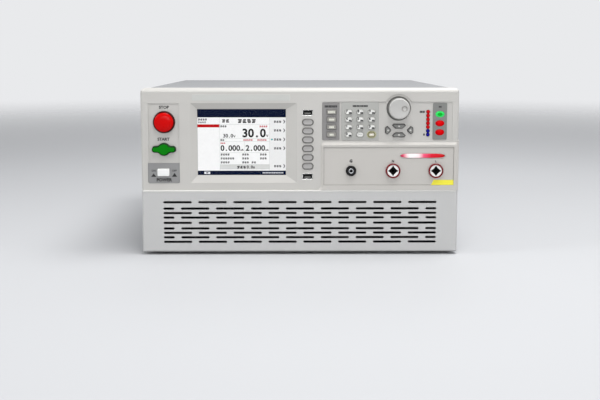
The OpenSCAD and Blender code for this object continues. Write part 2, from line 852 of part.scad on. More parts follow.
module lamp_plate() color("#8e8e90") difference() {
  slab(lamp_plate_x, pad_z, recess_d - plate_t, recess_d)
    round_rect(lamp_plate_w, key_plate_h - plate_step, lamp_plate_r);
  oval_holes(-cut, face_t);
}

module indicator_lamps() {
  for (i = [0:lamp_count - 1]) color(i < 2 ? "#1414a0" : "#d01818")
    round_bar(lamp_x, lamp_low_z + i * lamp_pitch, -lamp_proud, key_board_d, lamp_d / 2, lamp_d / 2);
  for (i = [0:oval_count - 1]) color(i == oval_count - 1 ? "#20c850" : "#d01818")
    slab(lamp_plate_x, oval_low_z + i * oval_pitch, -oval_proud, key_board_d) pill(oval_w, oval_h);
}

module warning_lens() color("#d80018") {
  lip = 2 * lens_flange;
  slab(lens_x, lens_z, collar_seat - lens_reach, face_t + lens_flange / 2) pill(lens_w, lens_h);
  slab(lens_x, lens_z, face_t, face_t + lens_flange) pill(lens_w + lip, lens_h + lip);
}

// The three sockets for test leads
module plug_hole(x) {
  round_bar(x, socket_z, collar_near - cut, collar_near + plug_depth, plug_r, plug_r);
}

module socket_nut(x, r) {
  translate([x, face_t + nut_t, socket_z]) rotate([90, 0, 0]) cylinder(h = nut_t, r = r, $fn = 6);
}

// A bevelled collar in front of the panel and the body that passes through it
module socket_body(x, collar_r, body_r) {
  far = collar_near + plug_depth + socket_end;
  turned(x, socket_z, [[0, collar_near], [collar_r - bevel, collar_near], [collar_r, collar_near + bevel],
                       [collar_r, collar_seat], [body_r, collar_seat], [body_r, far], [0, far]]);
}

module ground_socket() color("#1c1c1c") difference() {
  union() {
    socket_body(ground_x, ground_r, ground_body_r);
    socket_nut(ground_x, ground_body_r + nut_grip);
  }
  plug_hole(ground_x);
}

// The output sockets have a red collar, a sunk white face and a star shaped mouth round the plug hole
star_margin = 0.85;
star_r = output_r - collar_wall - star_margin;
star_arc_r = 18;
module star_outline() {
  half_side = star_r / sqrt(2);
  reach = half_side + sqrt(pow(star_arc_r, 2) - pow(half_side, 2));
  difference() {
    rotate(45) square(2 * half_side, center = true);
    for (a = [45:90:315]) rotate(a) translate([reach, 0]) circle(star_arc_r);
  }
}

module output_socket(x) {
  face_r = output_r - collar_wall;
  difference() {
    union() {
      socket_body(x, output_r, output_body_r);
      socket_nut(x, output_body_r + nut_grip);
    }
    round_bar(x, socket_z, collar_near - cut, collar_near + face_set, face_r, face_r);
    slab(x, socket_z, collar_near, collar_near + star_depth) star_outline();
    plug_hole(x);
  }
}

module neutral_socket() color("#b02028") output_socket(neutral_x);

module live_socket() color("#b02028") output_socket(live_x);

module usb_sockets() color("#2a2a2c") {
  for (z = [usb_top_z, usb_low_z]) {
    difference() {
      union() {
        slab(usb_x, z, -usb_proud, usb_depth)
          square([usb_w + 2 * usb_wall, usb_h + 2 * usb_wall], center = true);
        slab(usb_x, z, face_t, face_t + usb_flange_t) square([usb_flange_w, usb_flange_h], center = true);
      }
      slab(usb_x, z, -cut, usb_depth - usb_wall) square([usb_w, usb_h], center = true);
    }
    slab(usb_x, z - tongue_drop, tongue_set, usb_depth - usb_wall / 2)
      square([tongue_w, tongue_h], center = true);
  }
}

// The boards behind the front
module tact_switch(place) {
  slab(place[0], place[1], switch_near + tact_step, key_board_d + solder) square(tact_w, center = true);
  round_bar(place[0], place[1], switch_near, key_board_d, tact_r, tact_r);
}

module keypad_board() color("#2e6b46") difference() {
  union() {
    slab(0, 0, key_board_d, key_board_d + board_t) {
      translate([board_left, board_low]) square([board_right - board_left, board_high - board_low]);
      translate([strip_left, strip_low]) square([strip_right - strip_left, strip_high - strip_low]);
    }
    for (place = small_key_places) tact_switch(place);
    slab(knob_x, knob_z, well_d + knob_floor_t + catch_gap, key_board_d + solder)
      square(encoder_w, center = true);
  }
  round_bar(knob_x, knob_z, well_d, key_board_d, shaft_r + shaft_gap, shaft_r + shaft_gap);
}

module switch_board() color("#2e6b46") {
  slab(column_x, (switch_low + switch_high) / 2, switch_board_d, switch_board_d + board_t)
    square([switch_board_w, switch_high - switch_low], center = true);
  for (z = [stop_z, start_z]) {
    slab(column_x, z, start_switch_near + tact_step, switch_board_d + solder) square(push_w, center = true);
    round_bar(column_x, z, start_switch_near, switch_board_d, push_r, push_r);
  }
  slab(power_x, power_z, power_switch_near, switch_board_d + board_t + power_switch_l)
    square([power_switch_w, power_switch_h], center = true);
}

// The controls that move
module catch_plate(x, z) {
  slab(x, z, catch_near, catch_far) children();
}

module pill_key(place, w, h) {
  x = place[0];
  z = place[1];
  run = (w - h) / 2;
  catch_plate(x, z) pill(w + 2 * catch_w, h + 2 * catch_w);
  slab(x, z, bevel - key_reach, catch_far) pill(w, h);
  slab(x, z, bevel / 2 - key_reach, catch_far) pill(w - 2 * bevel, h - 2 * bevel);
  for (s = [-1, 1])
    round_bar(x + s * run, z, -key_reach, bevel - key_reach, h / 2 - bevel, h / 2);
  along_x(x - run, x + run) translate([0, z])
    polygon([[bevel - key_reach, -h / 2], [bevel - key_reach, h / 2],
             [-key_reach, h / 2 - bevel], [-key_reach, bevel - h / 2]]);
}

module square_key(x, z, w, h, reach) {
  far = bevel - reach;
  catch_plate(x, z) square([w + 2 * catch_w, h + 2 * catch_w], center = true);
  slab(x, z, far, catch_far) square([w, h], center = true);
  slab(x, z, far - bevel / 2, catch_far) square([w - 2 * bevel, h - 2 * bevel], center = true);
  intersection() {
    along_x(x - w / 2, x + w / 2) translate([0, z])
      polygon([[far, -h / 2], [far, h / 2], [-reach, h / 2 - bevel], [-reach, bevel - h / 2]]);
    translate([x, 0, z - h / 2]) linear_extrude(h)
      polygon([[-w / 2, far], [w / 2, far], [w / 2 - bevel, -reach], [bevel - w / 2, -reach]]);
  }
}

module soft_key(i) color("#a3a1a0") pill_key(soft_place(i), soft_w, soft_h);

module function_key(i) color("#9c9a98")
  square_key(function_place(i)[0], function_place(i)[1], function_w, function_h, key_reach);

module number_key(i) color(i == 2 ? "#c8c060" : "#e8e8e4") pill_key(number_place(i), number_w, number_h);

module arrow_key(i) color("#6c6c6a") {
  x = arrow_place(i)[0];
  z = arrow_place(i)[1];
  catch_plate(x, z) arrow_outline(i, arrow_catch_w);
  slab(x, z, bevel - key_reach, catch_far) arrow_outline(i, 0);
  slab(x, z, -key_reach, bevel - key_reach + cut / 4) arrow_outline(i, -bevel);
}

module stop_button() color("#c50806") {
  crown_r = stop_r - stop_edge;
  crown_far = stop_crown - stop_reach;
  sphere_r = (pow(crown_r, 2) + pow(stop_crown, 2)) / (2 * stop_crown);
  turned(stop_x, stop_z, [[0, crown_far], [crown_r, crown_far], [stop_r, crown_far + stop_edge],
                          [stop_r, catch_near], [stop_r + catch_w, catch_near],
                          [stop_r + catch_w, catch_far], [0, catch_far]]);
  intersection() {
    round_bar(stop_x, stop_z, -stop_reach, crown_far + stop_edge / 4, crown_r, crown_r);
    translate([stop_x, sphere_r - stop_reach, stop_z]) sphere(sphere_r);
  }
}

module start_button() color("#057907") {
  catch_plate(column_x, start_z) start_outline(catch_w);
  slab(column_x, start_z, bevel - start_reach, catch_far) start_outline(0);
  slab(column_x, start_z, -start_reach, bevel - start_reach + cut / 4) start_outline(-bevel);
}

module power_button() color("#f0f0f0") square_key(power_x, power_z, power_w, power_h, power_reach);

module control_knob() color("#c5c5c3") difference() {
  ball_r = (pow(dimple_r, 2) + pow(dimple_d, 2)) / (2 * dimple_d);
  knob_far = well_d - knob_clear;
  shaft_far = key_board_d - catch_gap;
  turned(knob_x, knob_z, [[0, -knob_reach], [knob_r - knob_edge, -knob_reach],
                          [knob_r, knob_edge - knob_reach], [knob_r, knob_far],
                          [shaft_r, knob_far], [shaft_r, shaft_far], [0, shaft_far]]);
  translate([knob_x + dimple_offset, dimple_d - ball_r - knob_reach, knob_z]) sphere(ball_r);
}

// The sheet metal case
module cover_outline(inset) {
  half = case_half - inset;
  top = case_top - inset;
  low = inset > 0 ? case_inset - cut : case_inset;
  r = max(bend_r - inset, 0.5);
  translate([-half, low]) square([2 * half, top - r - low]);
  translate([r - half, low]) square([2 * (half - r), top - low]);
  for (s = [-1, 1]) translate([s * (half - r), top - r]) circle(r);
}

module side_bars(places, from, to, r) {
  for (s = [-1, 1], p = places)
    translate([s * from, p[0], p[1]]) rotate([0, s * 90, 0]) cylinder(h = to - from, r = r);
}

module top_cover() color("#b8b8b8") difference() {
  slab(0, 0, rim_d, case_depth) cover_outline(0);
  slab(0, 0, rim_d - cut, case_depth + cut) cover_outline(sheet_t);
  for (i = [0:vent_count - 1])
    along_x(-half_w, half_w) translate([case_depth - vent_set + i * vent_pitch, vent_z])
      rotate(90) pill(vent_h, vent_w);
  side_bars(concat(tray_screws, rear_screws), inner_half, half_w, screw_r + fit_gap);
}

module base_tray() color("#4b4d50") difference() {
  union() {
    block([-inner_half, inner_half], [rim_d, rear_face], [case_inset, tray_top]);
    for (s = [0, 1]) mirror([s, 0, 0])
      block([inner_half - sheet_t, inner_half], [rim_d, rear_inner - fit_gap],
            [case_inset, case_inset + flange_h]);
    slab(0, 0, rim_d, rim_d + sheet_t) difference() {
      translate([-inner_half, case_inset]) square([2 * inner_half, frame_top - case_inset]);
      translate([post_w - inner_half, tray_top + sill_h])
        square([2 * (inner_half - post_w), frame_top - lintel_h - tray_top - sill_h]);
    }
  }
  side_bars(tray_screws, inner_half - 2 * sheet_t, half_w, screw_r + fit_gap);
}

// The rear panel with its fan guard punched as rings between four spokes
module fan_guard() {
  difference() {
    for (r = [duct_r - 1:-guard_pitch:hub_r]) difference() {
      circle(r);
      circle(r - guard_ring_w);
    }
    for (a = [0, 90]) rotate(a + 45) square([2 * duct_r, spoke_w], center = true);
  }
}

module fan_screw_places() {
  for (x = [-1, 1], z = [-1, 1]) translate([x * fan_hole_offset, z * fan_hole_offset]) children();
}

module rear_panel() color("#b4b5b5") difference() {
  flange_low = case_inset + flange_h + 2;
  flange_near = rear_inner - flange_d;
  union() {
    slab(0, 0, rear_inner, rear_face)
      translate([-inner_half, tray_top]) square([2 * inner_half, frame_top - tray_top]);
    for (s = [0, 1]) mirror([s, 0, 0])
      block([inner_half - sheet_t, inner_half], [flange_near, rear_inner + join], [flange_low, frame_top]);
    block([-inner_half, inner_half], [flange_near, rear_inner + join], [frame_top - sheet_t, frame_top]);
  }
  slab(fan_x, fan_z, rear_inner - cut, rear_face + cut) {
    fan_guard();
    fan_screw_places() circle(fan_screw_r + fit_gap);
  }
  slab(inlet_x, inlet_z, rear_inner - cut, rear_face + cut)
    square([inlet_w + 2 * fit_gap, inlet_h + 2 * fit_gap], center = true);
  slab(interface_x, interface_z, rear_inner - cut, rear_face + cut)
    square([interface_w + 2 * fit_gap, interface_h + 2 * fit_gap], center = true);
  round_bar(stud_x, stud_z, rear_inner - cut, rear_face + cut, stud_r + fit_gap, stud_r + fit_gap);
  side_bars(rear_screws, inner_half - 2 * sheet_t, half_w, screw_r + fit_gap);
}

module feet() color("#242424") {
  for (x = [-1, 1], y = [rim_d + foot_inset, case_depth - foot_inset])
    translate([x * (case_half - foot_inset), y, -panel_lift]) difference() {
      cylinder(h = panel_lift + case_inset, r1 = foot_r - 1, r2 = foot_r);
      translate([0, 0, -cut]) cylinder(h = cut + 2, r = foot_r / 3);
    }
}

module case_screws() color("#8a8c8e") {
  places = concat(tray_screws, rear_screws);
  head_step = screw_head_t / 2;
  side_bars(places, case_half - 2 * sheet_t - fit_gap - screw_r, case_half + head_step + join, screw_r);
  side_bars(places, case_half, case_half + head_step, screw_head_r);
  for (s = [-1, 1], p = places)
    translate([s * (case_half + head_step), p[0], p[1]]) rotate([0, s * 90, 0])
      cylinder(h = head_step, r1 = screw_head_r, r2 = screw_head_r - head_step);
  slab(fan_x, fan_z, rear_inner - fan_screw_l, rear_face + join) fan_screw_places() circle(fan_screw_r);
  slab(fan_x, fan_z, rear_face, rear_face + screw_head_t) fan_screw_places() circle(2 * fan_screw_r);
}

// The rear panel's fittings
module mains_inlet() color("#1e1e1e") {
  face = rear_face + inlet_lip;
  plug_z = inlet_z + 8.5;
  pins = [[-7, -2], [7, -2], [0, 2.5]];
  difference() {
    union() {
      slab(inlet_x, inlet_z, rear_face - inlet_d, rear_face + join) square([inlet_w, inlet_h], center = true);
      slab(inlet_x, inlet_z, rear_face, face) round_rect(inlet_w + 2 * inlet_lip, inlet_h + 2 * inlet_lip, 3);
      slab(inlet_x, plug_z - 23.5, face - 1, face + 1) round_rect(20, 10, 1);
    }
    slab(inlet_x, plug_z, face - inlet_deep, face + cut)
      polygon([[-11.3, 7.9], [11.3, 7.9], [11.3, -3.4], [6.8, -7.9], [-6.8, -7.9], [-11.3, -3.4]]);
  }
  for (p = pins)
    slab(inlet_x + p[0], plug_z + p[1], face - inlet_deep - 1, face - 5.5) square([2, 4], center = true);
}

module interface_socket() color("#c0c2c4") {
  slab(interface_x, interface_z, rear_face - 8, rear_face + join)
    square([interface_w, interface_h], center = true);
  slab(interface_x, interface_z, rear_face, rear_face + 1) round_rect(interface_w + 12, interface_h + 2.5, 2);
  slab(interface_x, interface_z, rear_face, rear_face + 6)
    polygon([[-8.4, 4.1], [8.4, 4.1], [7, -4.1], [-7, -4.1]]);
  for (s = [-1, 1]) translate([interface_x + s * 12.5, rear_face + 5.5, interface_z])
    rotate([90, 0, 0]) cylinder(h = 5, r = 2.7, $fn = 6);
}

module earth_stud() color("#c8b070") {
  washer_r = 2.3 * stud_r;
  round_bar(stud_x, stud_z, rear_inner - 2 * stud_nut_t, rear_face + stud_len, stud_r, stud_r);
  round_bar(stud_x, stud_z, rear_face, rear_face + 1, washer_r, washer_r);
  for (near = [rear_inner - stud_nut_t, rear_face + 1]) translate([stud_x, near + stud_nut_t, stud_z])
    rotate([90, 0, 0]) cylinder(h = stud_nut_t, r = 1.9 * stud_r, $fn = 6);
}

// The fan
module fan_frame() color("#222222") {
  difference() {
    slab(fan_x, fan_z, fan_y, rear_inner) round_rect(fan_w, fan_w, 4);
    round_bar(fan_x, fan_z, fan_y - cut, rear_inner + cut, duct_r, duct_r);
    slab(fan_x, fan_z, fan_y - cut, rear_inner + cut) fan_screw_places() circle(fan_screw_r + fit_gap);
  }
  slab(fan_x, fan_z, rear_inner - hub_end + 0.5, rear_inner - 0.5) {
    circle(hub_r);
    for (a = [0:90:270]) rotate(a + 45) translate([0, -spoke_w / 2]) square([duct_r + 1, spoke_w]);
  }
  round_bar(fan_x, fan_z, fan_y + 7, rear_inner - hub_end / 2, fan_shaft_r, fan_shaft_r);
}

// The blades are radial bars, twisted as they rise along the shaft
blade_depth = 16;
blade_twist = 38;
blade_t = 1.6;
blade_tip = duct_r - 1.5;
module fan_blades() {
  linear_extrude(height = blade_depth, twist = blade_twist, slices = 5, $fn = 8)
    for (i = [0:blade_count - 1]) rotate(i * 360 / blade_count)
      translate([hub_r - 1, -blade_t / 2]) square([blade_tip - hub_r + 1, blade_t]);
}

module fan_rotor() color("#3a3a3a") difference() {
  hub_near = fan_y + hub_set;
  hub_far = rear_inner - hub_end;
  union() {
    turned(fan_x, fan_z, [[0, hub_near], [hub_r - 1, hub_near], [hub_r, hub_near + 1],
                          [hub_r, hub_far], [0, hub_far]]);
    translate([fan_x, hub_near + blade_depth + 1, fan_z]) rotate([90, 0, 0]) fan_blades();
  }
  round_bar(fan_x, fan_z, hub_near + hub_end - 1, rear_inner,
            fan_shaft_r + shaft_gap, fan_shaft_r + shaft_gap);
}

// What stands on the tray
module isolation_transformer() color("#2d2d30") {
  wound_w = toroid_r - toroid_hole_r;
  wound_top = toroid_pad_t + toroid_h;
  bolt_r = 4;
  translate([toroid_x, toroid_y, tray_top]) {
    cylinder(h = toroid_pad_t + join, r = toroid_r - toroid_round_r + 2);
    translate([0, 0, toroid_pad_t + toroid_h / 2]) rotate_extrude()
      translate([(toroid_r + toroid_hole_r) / 2, 0]) round_rect(wound_w, toroid_h, toroid_round_r);
    cylinder(h = toroid_h, r = toroid_hole_r + 1);
    translate([0, 0, wound_top - join]) cylinder(h = toroid_pad_t, r1 = 10 * bolt_r, r2 = 9 * bolt_r);
    cylinder(h = wound_top + 3 * bolt_r, r = bolt_r);
    translate([0, 0, wound_top + toroid_pad_t - 1]) cylinder(h = 6, r = 1.9 * bolt_r, $fn = 6);
  }
}

module amplifier_heat_sink() color("#b9bcc0") {
  sink_w = (fin_count - 1) * fin_pitch + fin_t;
  sink_far = fan_y - flange_d;
  slab(fan_x - sink_w / 2, tray_top + sink_leg_h, sink_far - sink_l, sink_far) {
    square([sink_w, sink_base_t]);
    for (i = [0:fin_count - 1]) translate([i * fin_pitch, 0]) square([fin_t, sink_base_t + fin_h]);
  }
  for (x = [-1, 1], y = [sink_far - 10, sink_far - sink_l + 10])
    translate([fan_x + x * (sink_w / 2 - 2 * sink_leg_r), y, tray_top])
      cylinder(h = sink_leg_h + 1, r = sink_leg_r);
}

module control_board() color("#2f7a4a") {
  low = tray_top + main_board_lift;
  edge = 6;
  relay_pitch = relay_w + 4;
  terminal_pitch = relay_w;
  translate([main_board_x, main_board_y, low]) {
    cube([main_board_w, main_board_l, board_t]);
    for (x = [edge, main_board_w - edge], y = [edge, main_board_l - edge])
      translate([x, y, -main_board_lift]) cylinder(h = main_board_lift + solder, r = edge / 2);
    // Two rows of measuring relays, the reservoir capacitors, the two large chips and a row of terminals
    for (i = [0:5], row = [0, 1])
      translate([2 * edge + i * relay_pitch, 3 * edge + row * (relay_l + 7), 0])
        cube([relay_w, relay_l, relay_h]);
    for (i = [0:2])
      translate([main_board_w - 26, 34 + i * 2.8 * capacitor_r, 0])
        cylinder(h = capacitor_h, r = capacitor_r);
    translate([40, 100, 0]) cube([30, 30, chip_t]);
    translate([86, 104, 0]) cube([22, 22, chip_t]);
    for (i = [0:5]) translate([20 + i * terminal_pitch, main_board_l - 18, 0]) cube([13, 12, 13]);
  }
}

seat() base_tray();
seat() top_cover();
seat() rear_panel();
seat() front_bezel();
seat() lower_grille();
seat() terminal_panel();
seat() screen_window();
seat() display_module();
seat() power_plate();
seat() function_plate();
seat() number_plate();
seat() lamp_plate();
seat() indicator_lamps();
seat() warning_lens();
seat() ground_socket();
seat() neutral_socket();
seat() live_socket();
seat() usb_sockets();
seat() keypad_board();
seat() switch_board();
seat() control_board();
seat() isolation_transformer();
seat() amplifier_heat_sink();
seat() fan_frame();
seat() mains_inlet();
seat() interface_socket();
seat() earth_stud();
seat() feet();
seat() case_screws();
seat() stop_button();
seat() start_button();
seat() power_button();
seat() control_knob();
seat() fan_rotor();
for (i = [0:SOFT_COUNT - 1])
  seat() soft_key(i);
for (i = [0:FUNCTION_COUNT - 1])
  seat() function_key(i);
for (i = [0:len(NUMBER_NAMES) - 1])
  seat() number_key(i);
for (i = [0:len(ARROW_NAMES) - 1])
  seat() arrow_key(i);
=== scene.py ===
# %% [markdown]
# # A leakage current tester, from CAD frame to finished object
#
# The tester is a bench instrument. It puts a voltage on whatever is plugged into its two red sockets and
# measures the small current that leaks to the ground socket. The CAD frame already holds every solid in
# its place, so this lesson gives the solids their finishes, and makes as fine surfaces the pieces whose
# softness or colours a solid can't show: keys, knob, lamps, screen, sockets and printed marks.

# %% Load the frame
import math

import bmesh
import bpy
import numpy as np
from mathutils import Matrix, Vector


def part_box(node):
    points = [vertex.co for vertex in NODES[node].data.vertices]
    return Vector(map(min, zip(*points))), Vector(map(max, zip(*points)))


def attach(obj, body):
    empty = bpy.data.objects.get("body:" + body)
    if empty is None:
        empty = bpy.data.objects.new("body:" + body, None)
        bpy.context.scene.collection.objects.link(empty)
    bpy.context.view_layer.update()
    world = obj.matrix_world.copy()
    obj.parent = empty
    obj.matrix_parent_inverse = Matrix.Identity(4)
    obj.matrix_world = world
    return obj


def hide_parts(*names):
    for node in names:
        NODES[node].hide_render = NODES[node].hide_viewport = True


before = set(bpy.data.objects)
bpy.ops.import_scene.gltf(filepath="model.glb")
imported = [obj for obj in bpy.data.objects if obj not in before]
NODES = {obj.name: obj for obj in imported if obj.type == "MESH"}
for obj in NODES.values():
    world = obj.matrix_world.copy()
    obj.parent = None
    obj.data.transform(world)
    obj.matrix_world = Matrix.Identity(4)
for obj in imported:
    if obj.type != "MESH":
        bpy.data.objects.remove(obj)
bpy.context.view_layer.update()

# %% [markdown]
# ## A place to measure from
#
# A maker measures a front panel from its own corner, not from the middle of the whole machine. Below,
# every place is given in millimetres as x, depth behind the front plane, and height above the panel's
# foot. Sizes are read from the CAD nodes, so the pieces here follow when the part changes.

# %% Panel millimetres
MM = 0.001
ORIGIN = np.array([0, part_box("front_bezel")[0].y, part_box("lower_grille")[0].z])


def to_world(points):
    """Panel millimetres to the frame's metres: origin + point / 1000."""
    return ORIGIN + np.asarray(points, float) * MM


def limits(node):
    """The two corners of a CAD node's box, in panel millimetres."""
    return [(np.array(corner) - ORIGIN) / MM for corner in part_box(node)]


def middle(node):
    """The middle of a CAD node's box, seen from the front: x and height."""
    low, high = limits(node)
    return (low[[0, 2]] + high[[0, 2]]) / 2


print("front plane at y", ORIGIN[1], "panel foot at z", round(ORIGIN[2], 4))

# %% [markdown]
# ## Outlines
#
# Almost every control is one outline pushed into the panel: a pill, a rounded rectangle, a circle, a
# cut bar. An outline here is a ring of points with the outward normal at each, so it can be grown by a
# clearance or shrunk by a rounding without changing its character.

# %% Outlines with normals
CORNER_STEPS = 9  # points on the arc at each corner
LEAST_FLAT = 0.01  # mm of straight side that is left beside a corner
PILL = 9  # mm, a radius past half the height of any pill here


def rounded(corners, radius):
    """A convex ring of corners, counter-clockwise, with each corner turned on a radius. The arc's centre
    is corner - r (n1 + n2) / (1 + n1.n2), where n1 and n2 are the two edges' normals."""
    corners = np.asarray(corners, float)
    along = np.roll(corners, -1, 0) - corners
    along /= np.linalg.norm(along, axis=1)[:, None]
    after = np.column_stack([along[:, 1], -along[:, 0]])
    before = np.roll(after, 1, 0)
    centre = corners - radius * (before + after) / (1 + (before * after).sum(1))[:, None]
    start = np.arctan2(before[:, 1], before[:, 0])
    turn = np.arccos(np.clip((before * after).sum(1), -1, 1))
    angle = (start[:, None] + turn[:, None] * np.linspace(0, 1, CORNER_STEPS)).ravel()
    normals = np.column_stack([np.cos(angle), np.sin(angle)])
    return np.repeat(centre, CORNER_STEPS, 0) + radius * normals, normals


def box_outline(width, height, radius):
    """A rectangle with round corners; with a radius past half the height it is a pill."""
    x, z = width / 2, height / 2
    return rounded([[x, -z], [x, z], [-x, z], [-x, -z]], min(radius, z - LEAST_FLAT, x - LEAST_FLAT))


def circle_outline(count):
    """The unit circle, whose points are its own normals."""
    angle = np.linspace(0, 2 * np.pi, count, endpoint=False)
    ring = np.column_stack([np.cos(angle), np.sin(angle)])
    return ring, ring


print("a pill outline has", len(box_outline(16, 9, PILL)[0]), "points")

# %% [markdown]
# ## Surfaces from rings
#
# A turned or moulded piece is drawn as rings set one behind the other, like the contour lines of a hill.
# One function carries an outline through a list of steps, each a scale, a growth and a depth. Scale 0
# shrinks a ring to a point, and merging such points closes the pole. A turned piece is the same with the
# unit circle as outline, so it needs only a radius and a depth for each step.

# %% Lofts and turned surfaces
ROUND_STEPS = 96  # points round a large circle


def ring_faces(rings, count, looped):
    """Quads between neighbouring rings: v, v + 1 and u, u + 1, with u going round."""
    v = np.arange(rings if looped else rings - 1)[:, None]
    u = np.arange(count)[None, :]
    after, beside = (v + 1) % rings, (u + 1) % count
    quads = [v * count + u, v * count + beside, after * count + beside, after * count + u]
    return np.stack(np.broadcast_arrays(*quads), -1).reshape(-1, 4).tolist()


def loft(outline, steps, at, relief=None, looped=False):
    """Point u of ring v is at + scale(v) (outline(u) + grow(v) normal(u)), at depth(v). The relief, a
    function of place, is added to the depth. A looped loft joins its last ring to its first."""
    points, normals = outline
    scale, grow, depth = (np.asarray(steps, float)[:, i, None, None] for i in range(3))
    flat = scale * (points + grow * normals)
    level = np.broadcast_to(depth[..., 0], flat.shape[:2])
    if relief:
        level = level + relief(flat[..., 0], flat[..., 1], level)
    grid = np.stack([flat[..., 0] + at[0], level, flat[..., 1] + at[1]], -1)
    return grid.reshape(-1, 3), ring_faces(len(scale), len(points), looped)


def turned(profile, at, count=ROUND_STEPS, relief=None, looped=False):
    """A turned surface: each radius and depth of the profile is one circle round the axis."""
    radius, depth = np.asarray(profile, float).T
    return loft(circle_outline(count), np.column_stack([radius, 0 * radius, depth]), at, relief, looped)


def stack(rings, at):
    """Rings of equal count, each a flat ring and its depth, joined one to the next."""
    grid = np.stack([np.insert(ring, 1, depth, axis=1) for ring, depth in rings]) + [at[0], 0, at[1]]
    return grid.reshape(-1, 3), ring_faces(len(rings), len(rings[0][0]), False)


print("a turned disc of 3 rings has", len(turned([[0, 0], [1, 0], [2, 0]], (0, 0))[1]), "faces")

# %% [markdown]
# A sheet or a printed mark is two copies of one outline, front and back, with an edge between them. A
# letter comes from Blender's own font, which is the only shape here that isn't worked out by a formula.

# %% Plates and words
CAPITAL = 0.69  # height of a capital as a share of the font's size
INK_THICK = 0.05  # mm


def plate(ring, near, far):
    """A flat sheet of any outline between two depths: its front, its back and its edge."""
    ring = np.asarray(ring, float)
    count = len(ring)
    points = np.concatenate([np.insert(ring, 1, depth, axis=1) for depth in (near, far)])
    ends = [list(range(count)), list(range(2 * count - 1, count - 1, -1))]
    return points, ends + ring_faces(2, count, False)


def bar(x, z, near, far):
    """A rectangular sheet given by its limits on x and height."""
    return plate([[x[0], z[0]], [x[1], z[0]], [x[1], z[1]], [x[0], z[1]]], near, far)


def word(text, x, z, height, near, bold, thick=INK_THICK):
    """Letters whose capitals are height mm tall, centred on x and standing on height z. The text becomes
    a mesh first, and then (x, y, z) goes to (x, -z, y), which turns it to face the front."""
    curve = bpy.data.curves.new("word", "FONT")
    curve.body, curve.size, curve.align_x = text, height / CAPITAL, "CENTER"
    curve.extrude, curve.resolution_u, curve.offset = thick / 2, 3, bold * height
    holder = bpy.data.objects.new("word", curve)
    bpy.context.scene.collection.objects.link(holder)
    mesh = bpy.data.meshes.new_from_object(holder)
    flat = np.zeros(len(mesh.vertices) * 3)
    mesh.vertices.foreach_get("co", flat)
    flat = flat.reshape(-1, 3)
    faces = [list(face.vertices) for face in mesh.polygons]
    bpy.data.objects.remove(holder)
    bpy.data.curves.remove(curve)
    bpy.data.meshes.remove(mesh)
    return np.column_stack([x + flat[:, 0], near + thick / 2 - flat[:, 2], z + flat[:, 1]]), faces


print("the word OFF has", len(word("OFF", 0, 0, 3, 0, 0.05)[1]), "faces")

# %% [markdown]
# ## Colour and nodes
#
# Colours are picked as sRGB hex values, the way a paint chart gives them, and one function turns them
# into the linear light that a renderer adds up. One small function adds any shader node, sets it, and
# links its inputs.

# %% Colour and shader nodes
WHITE = "#ffffff"


def linear(code):
    """sRGB hex to linear light: c / 12.92 when dark, else ((c + 0.055) / 1.055) ** 2.4."""
    value = np.array([int(code[i : i + 2], 16) for i in (1, 3, 5)]) / 255
    curve = np.where(value <= 0.04045, value / 12.92, ((value + 0.055) / 1.055) ** 2.4)
    return (*curve.tolist(), 1.0)


def add(tree, kind, inputs=None, **settings):
    """Adds one shader node, with its settings, and sets or links its inputs."""
    node = tree.nodes.new("ShaderNode" + kind)
    for name, value in settings.items():
        setattr(node, name, value)
    for name, value in (inputs or {}).items():
        if isinstance(value, bpy.types.NodeSocket):
            tree.links.new(value, node.inputs[name])
        else:
            node.inputs[name].default_value = value
    return node


def per_metre(size_mm):
    """The noise scale whose features are about size_mm across on Object coordinates."""
    return 1 / (size_mm * MM)


print("mid grey is", round(linear("#808080")[0], 3), "in linear light")

# %% [markdown]
# ## From shapes to pieces
#
# A piece may be made of several shapes, such as a key and the digit printed on it. They go into one mesh,
# each with its own tint kept on its faces, so that one material colours them all, as ink does on plastic.
# Doubled points are merged and the normals turned outwards before anything else is done.

# %% Make a piece
SOFT_ANGLE = math.radians(35)  # edges that turn by less are shaded smooth
MERGE = 2e-6  # metres


def make(name, shapes, finish, body="root", replaced=()):
    """One object from (shape, tint) pairs, riding on a body of the frame."""
    points, faces, tints, count = [], [], [], 0
    for (ring, quads), tint in shapes:
        points.append(ring)
        faces += [[count + i for i in quad] for quad in quads]
        tints += [linear(tint)] * len(quads)
        count += len(ring)
    mesh = bpy.data.meshes.new(name)
    mesh.from_pydata(to_world(np.concatenate(points)).tolist(), [], faces)
    layer = mesh.attributes.new("tint", "FLOAT_COLOR", "FACE")
    layer.data.foreach_set("color", np.array(tints, np.float32).ravel())
    work = bmesh.new()
    work.from_mesh(mesh)
    bmesh.ops.remove_doubles(work, verts=work.verts, dist=MERGE)
    bmesh.ops.recalc_face_normals(work, faces=work.faces)
    work.to_mesh(mesh)
    work.free()
    mesh.materials.append(finish)
    mesh.shade_smooth()
    mesh.set_sharp_from_angle(angle=SOFT_ANGLE)
    piece = bpy.data.objects.new(name, mesh)
    bpy.context.scene.collection.objects.link(piece)
    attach(piece, body)
    if replaced:
        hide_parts(*replaced)
    return piece


def make_cap(node, shapes, finish):
    """The cap of a key, switch or knob, in place of its CAD node and riding on the body of that name."""
    return make(node + "_cap", shapes, finish, node, [node])


print("the frame holds", len(NODES), "nodes before any piece is made")
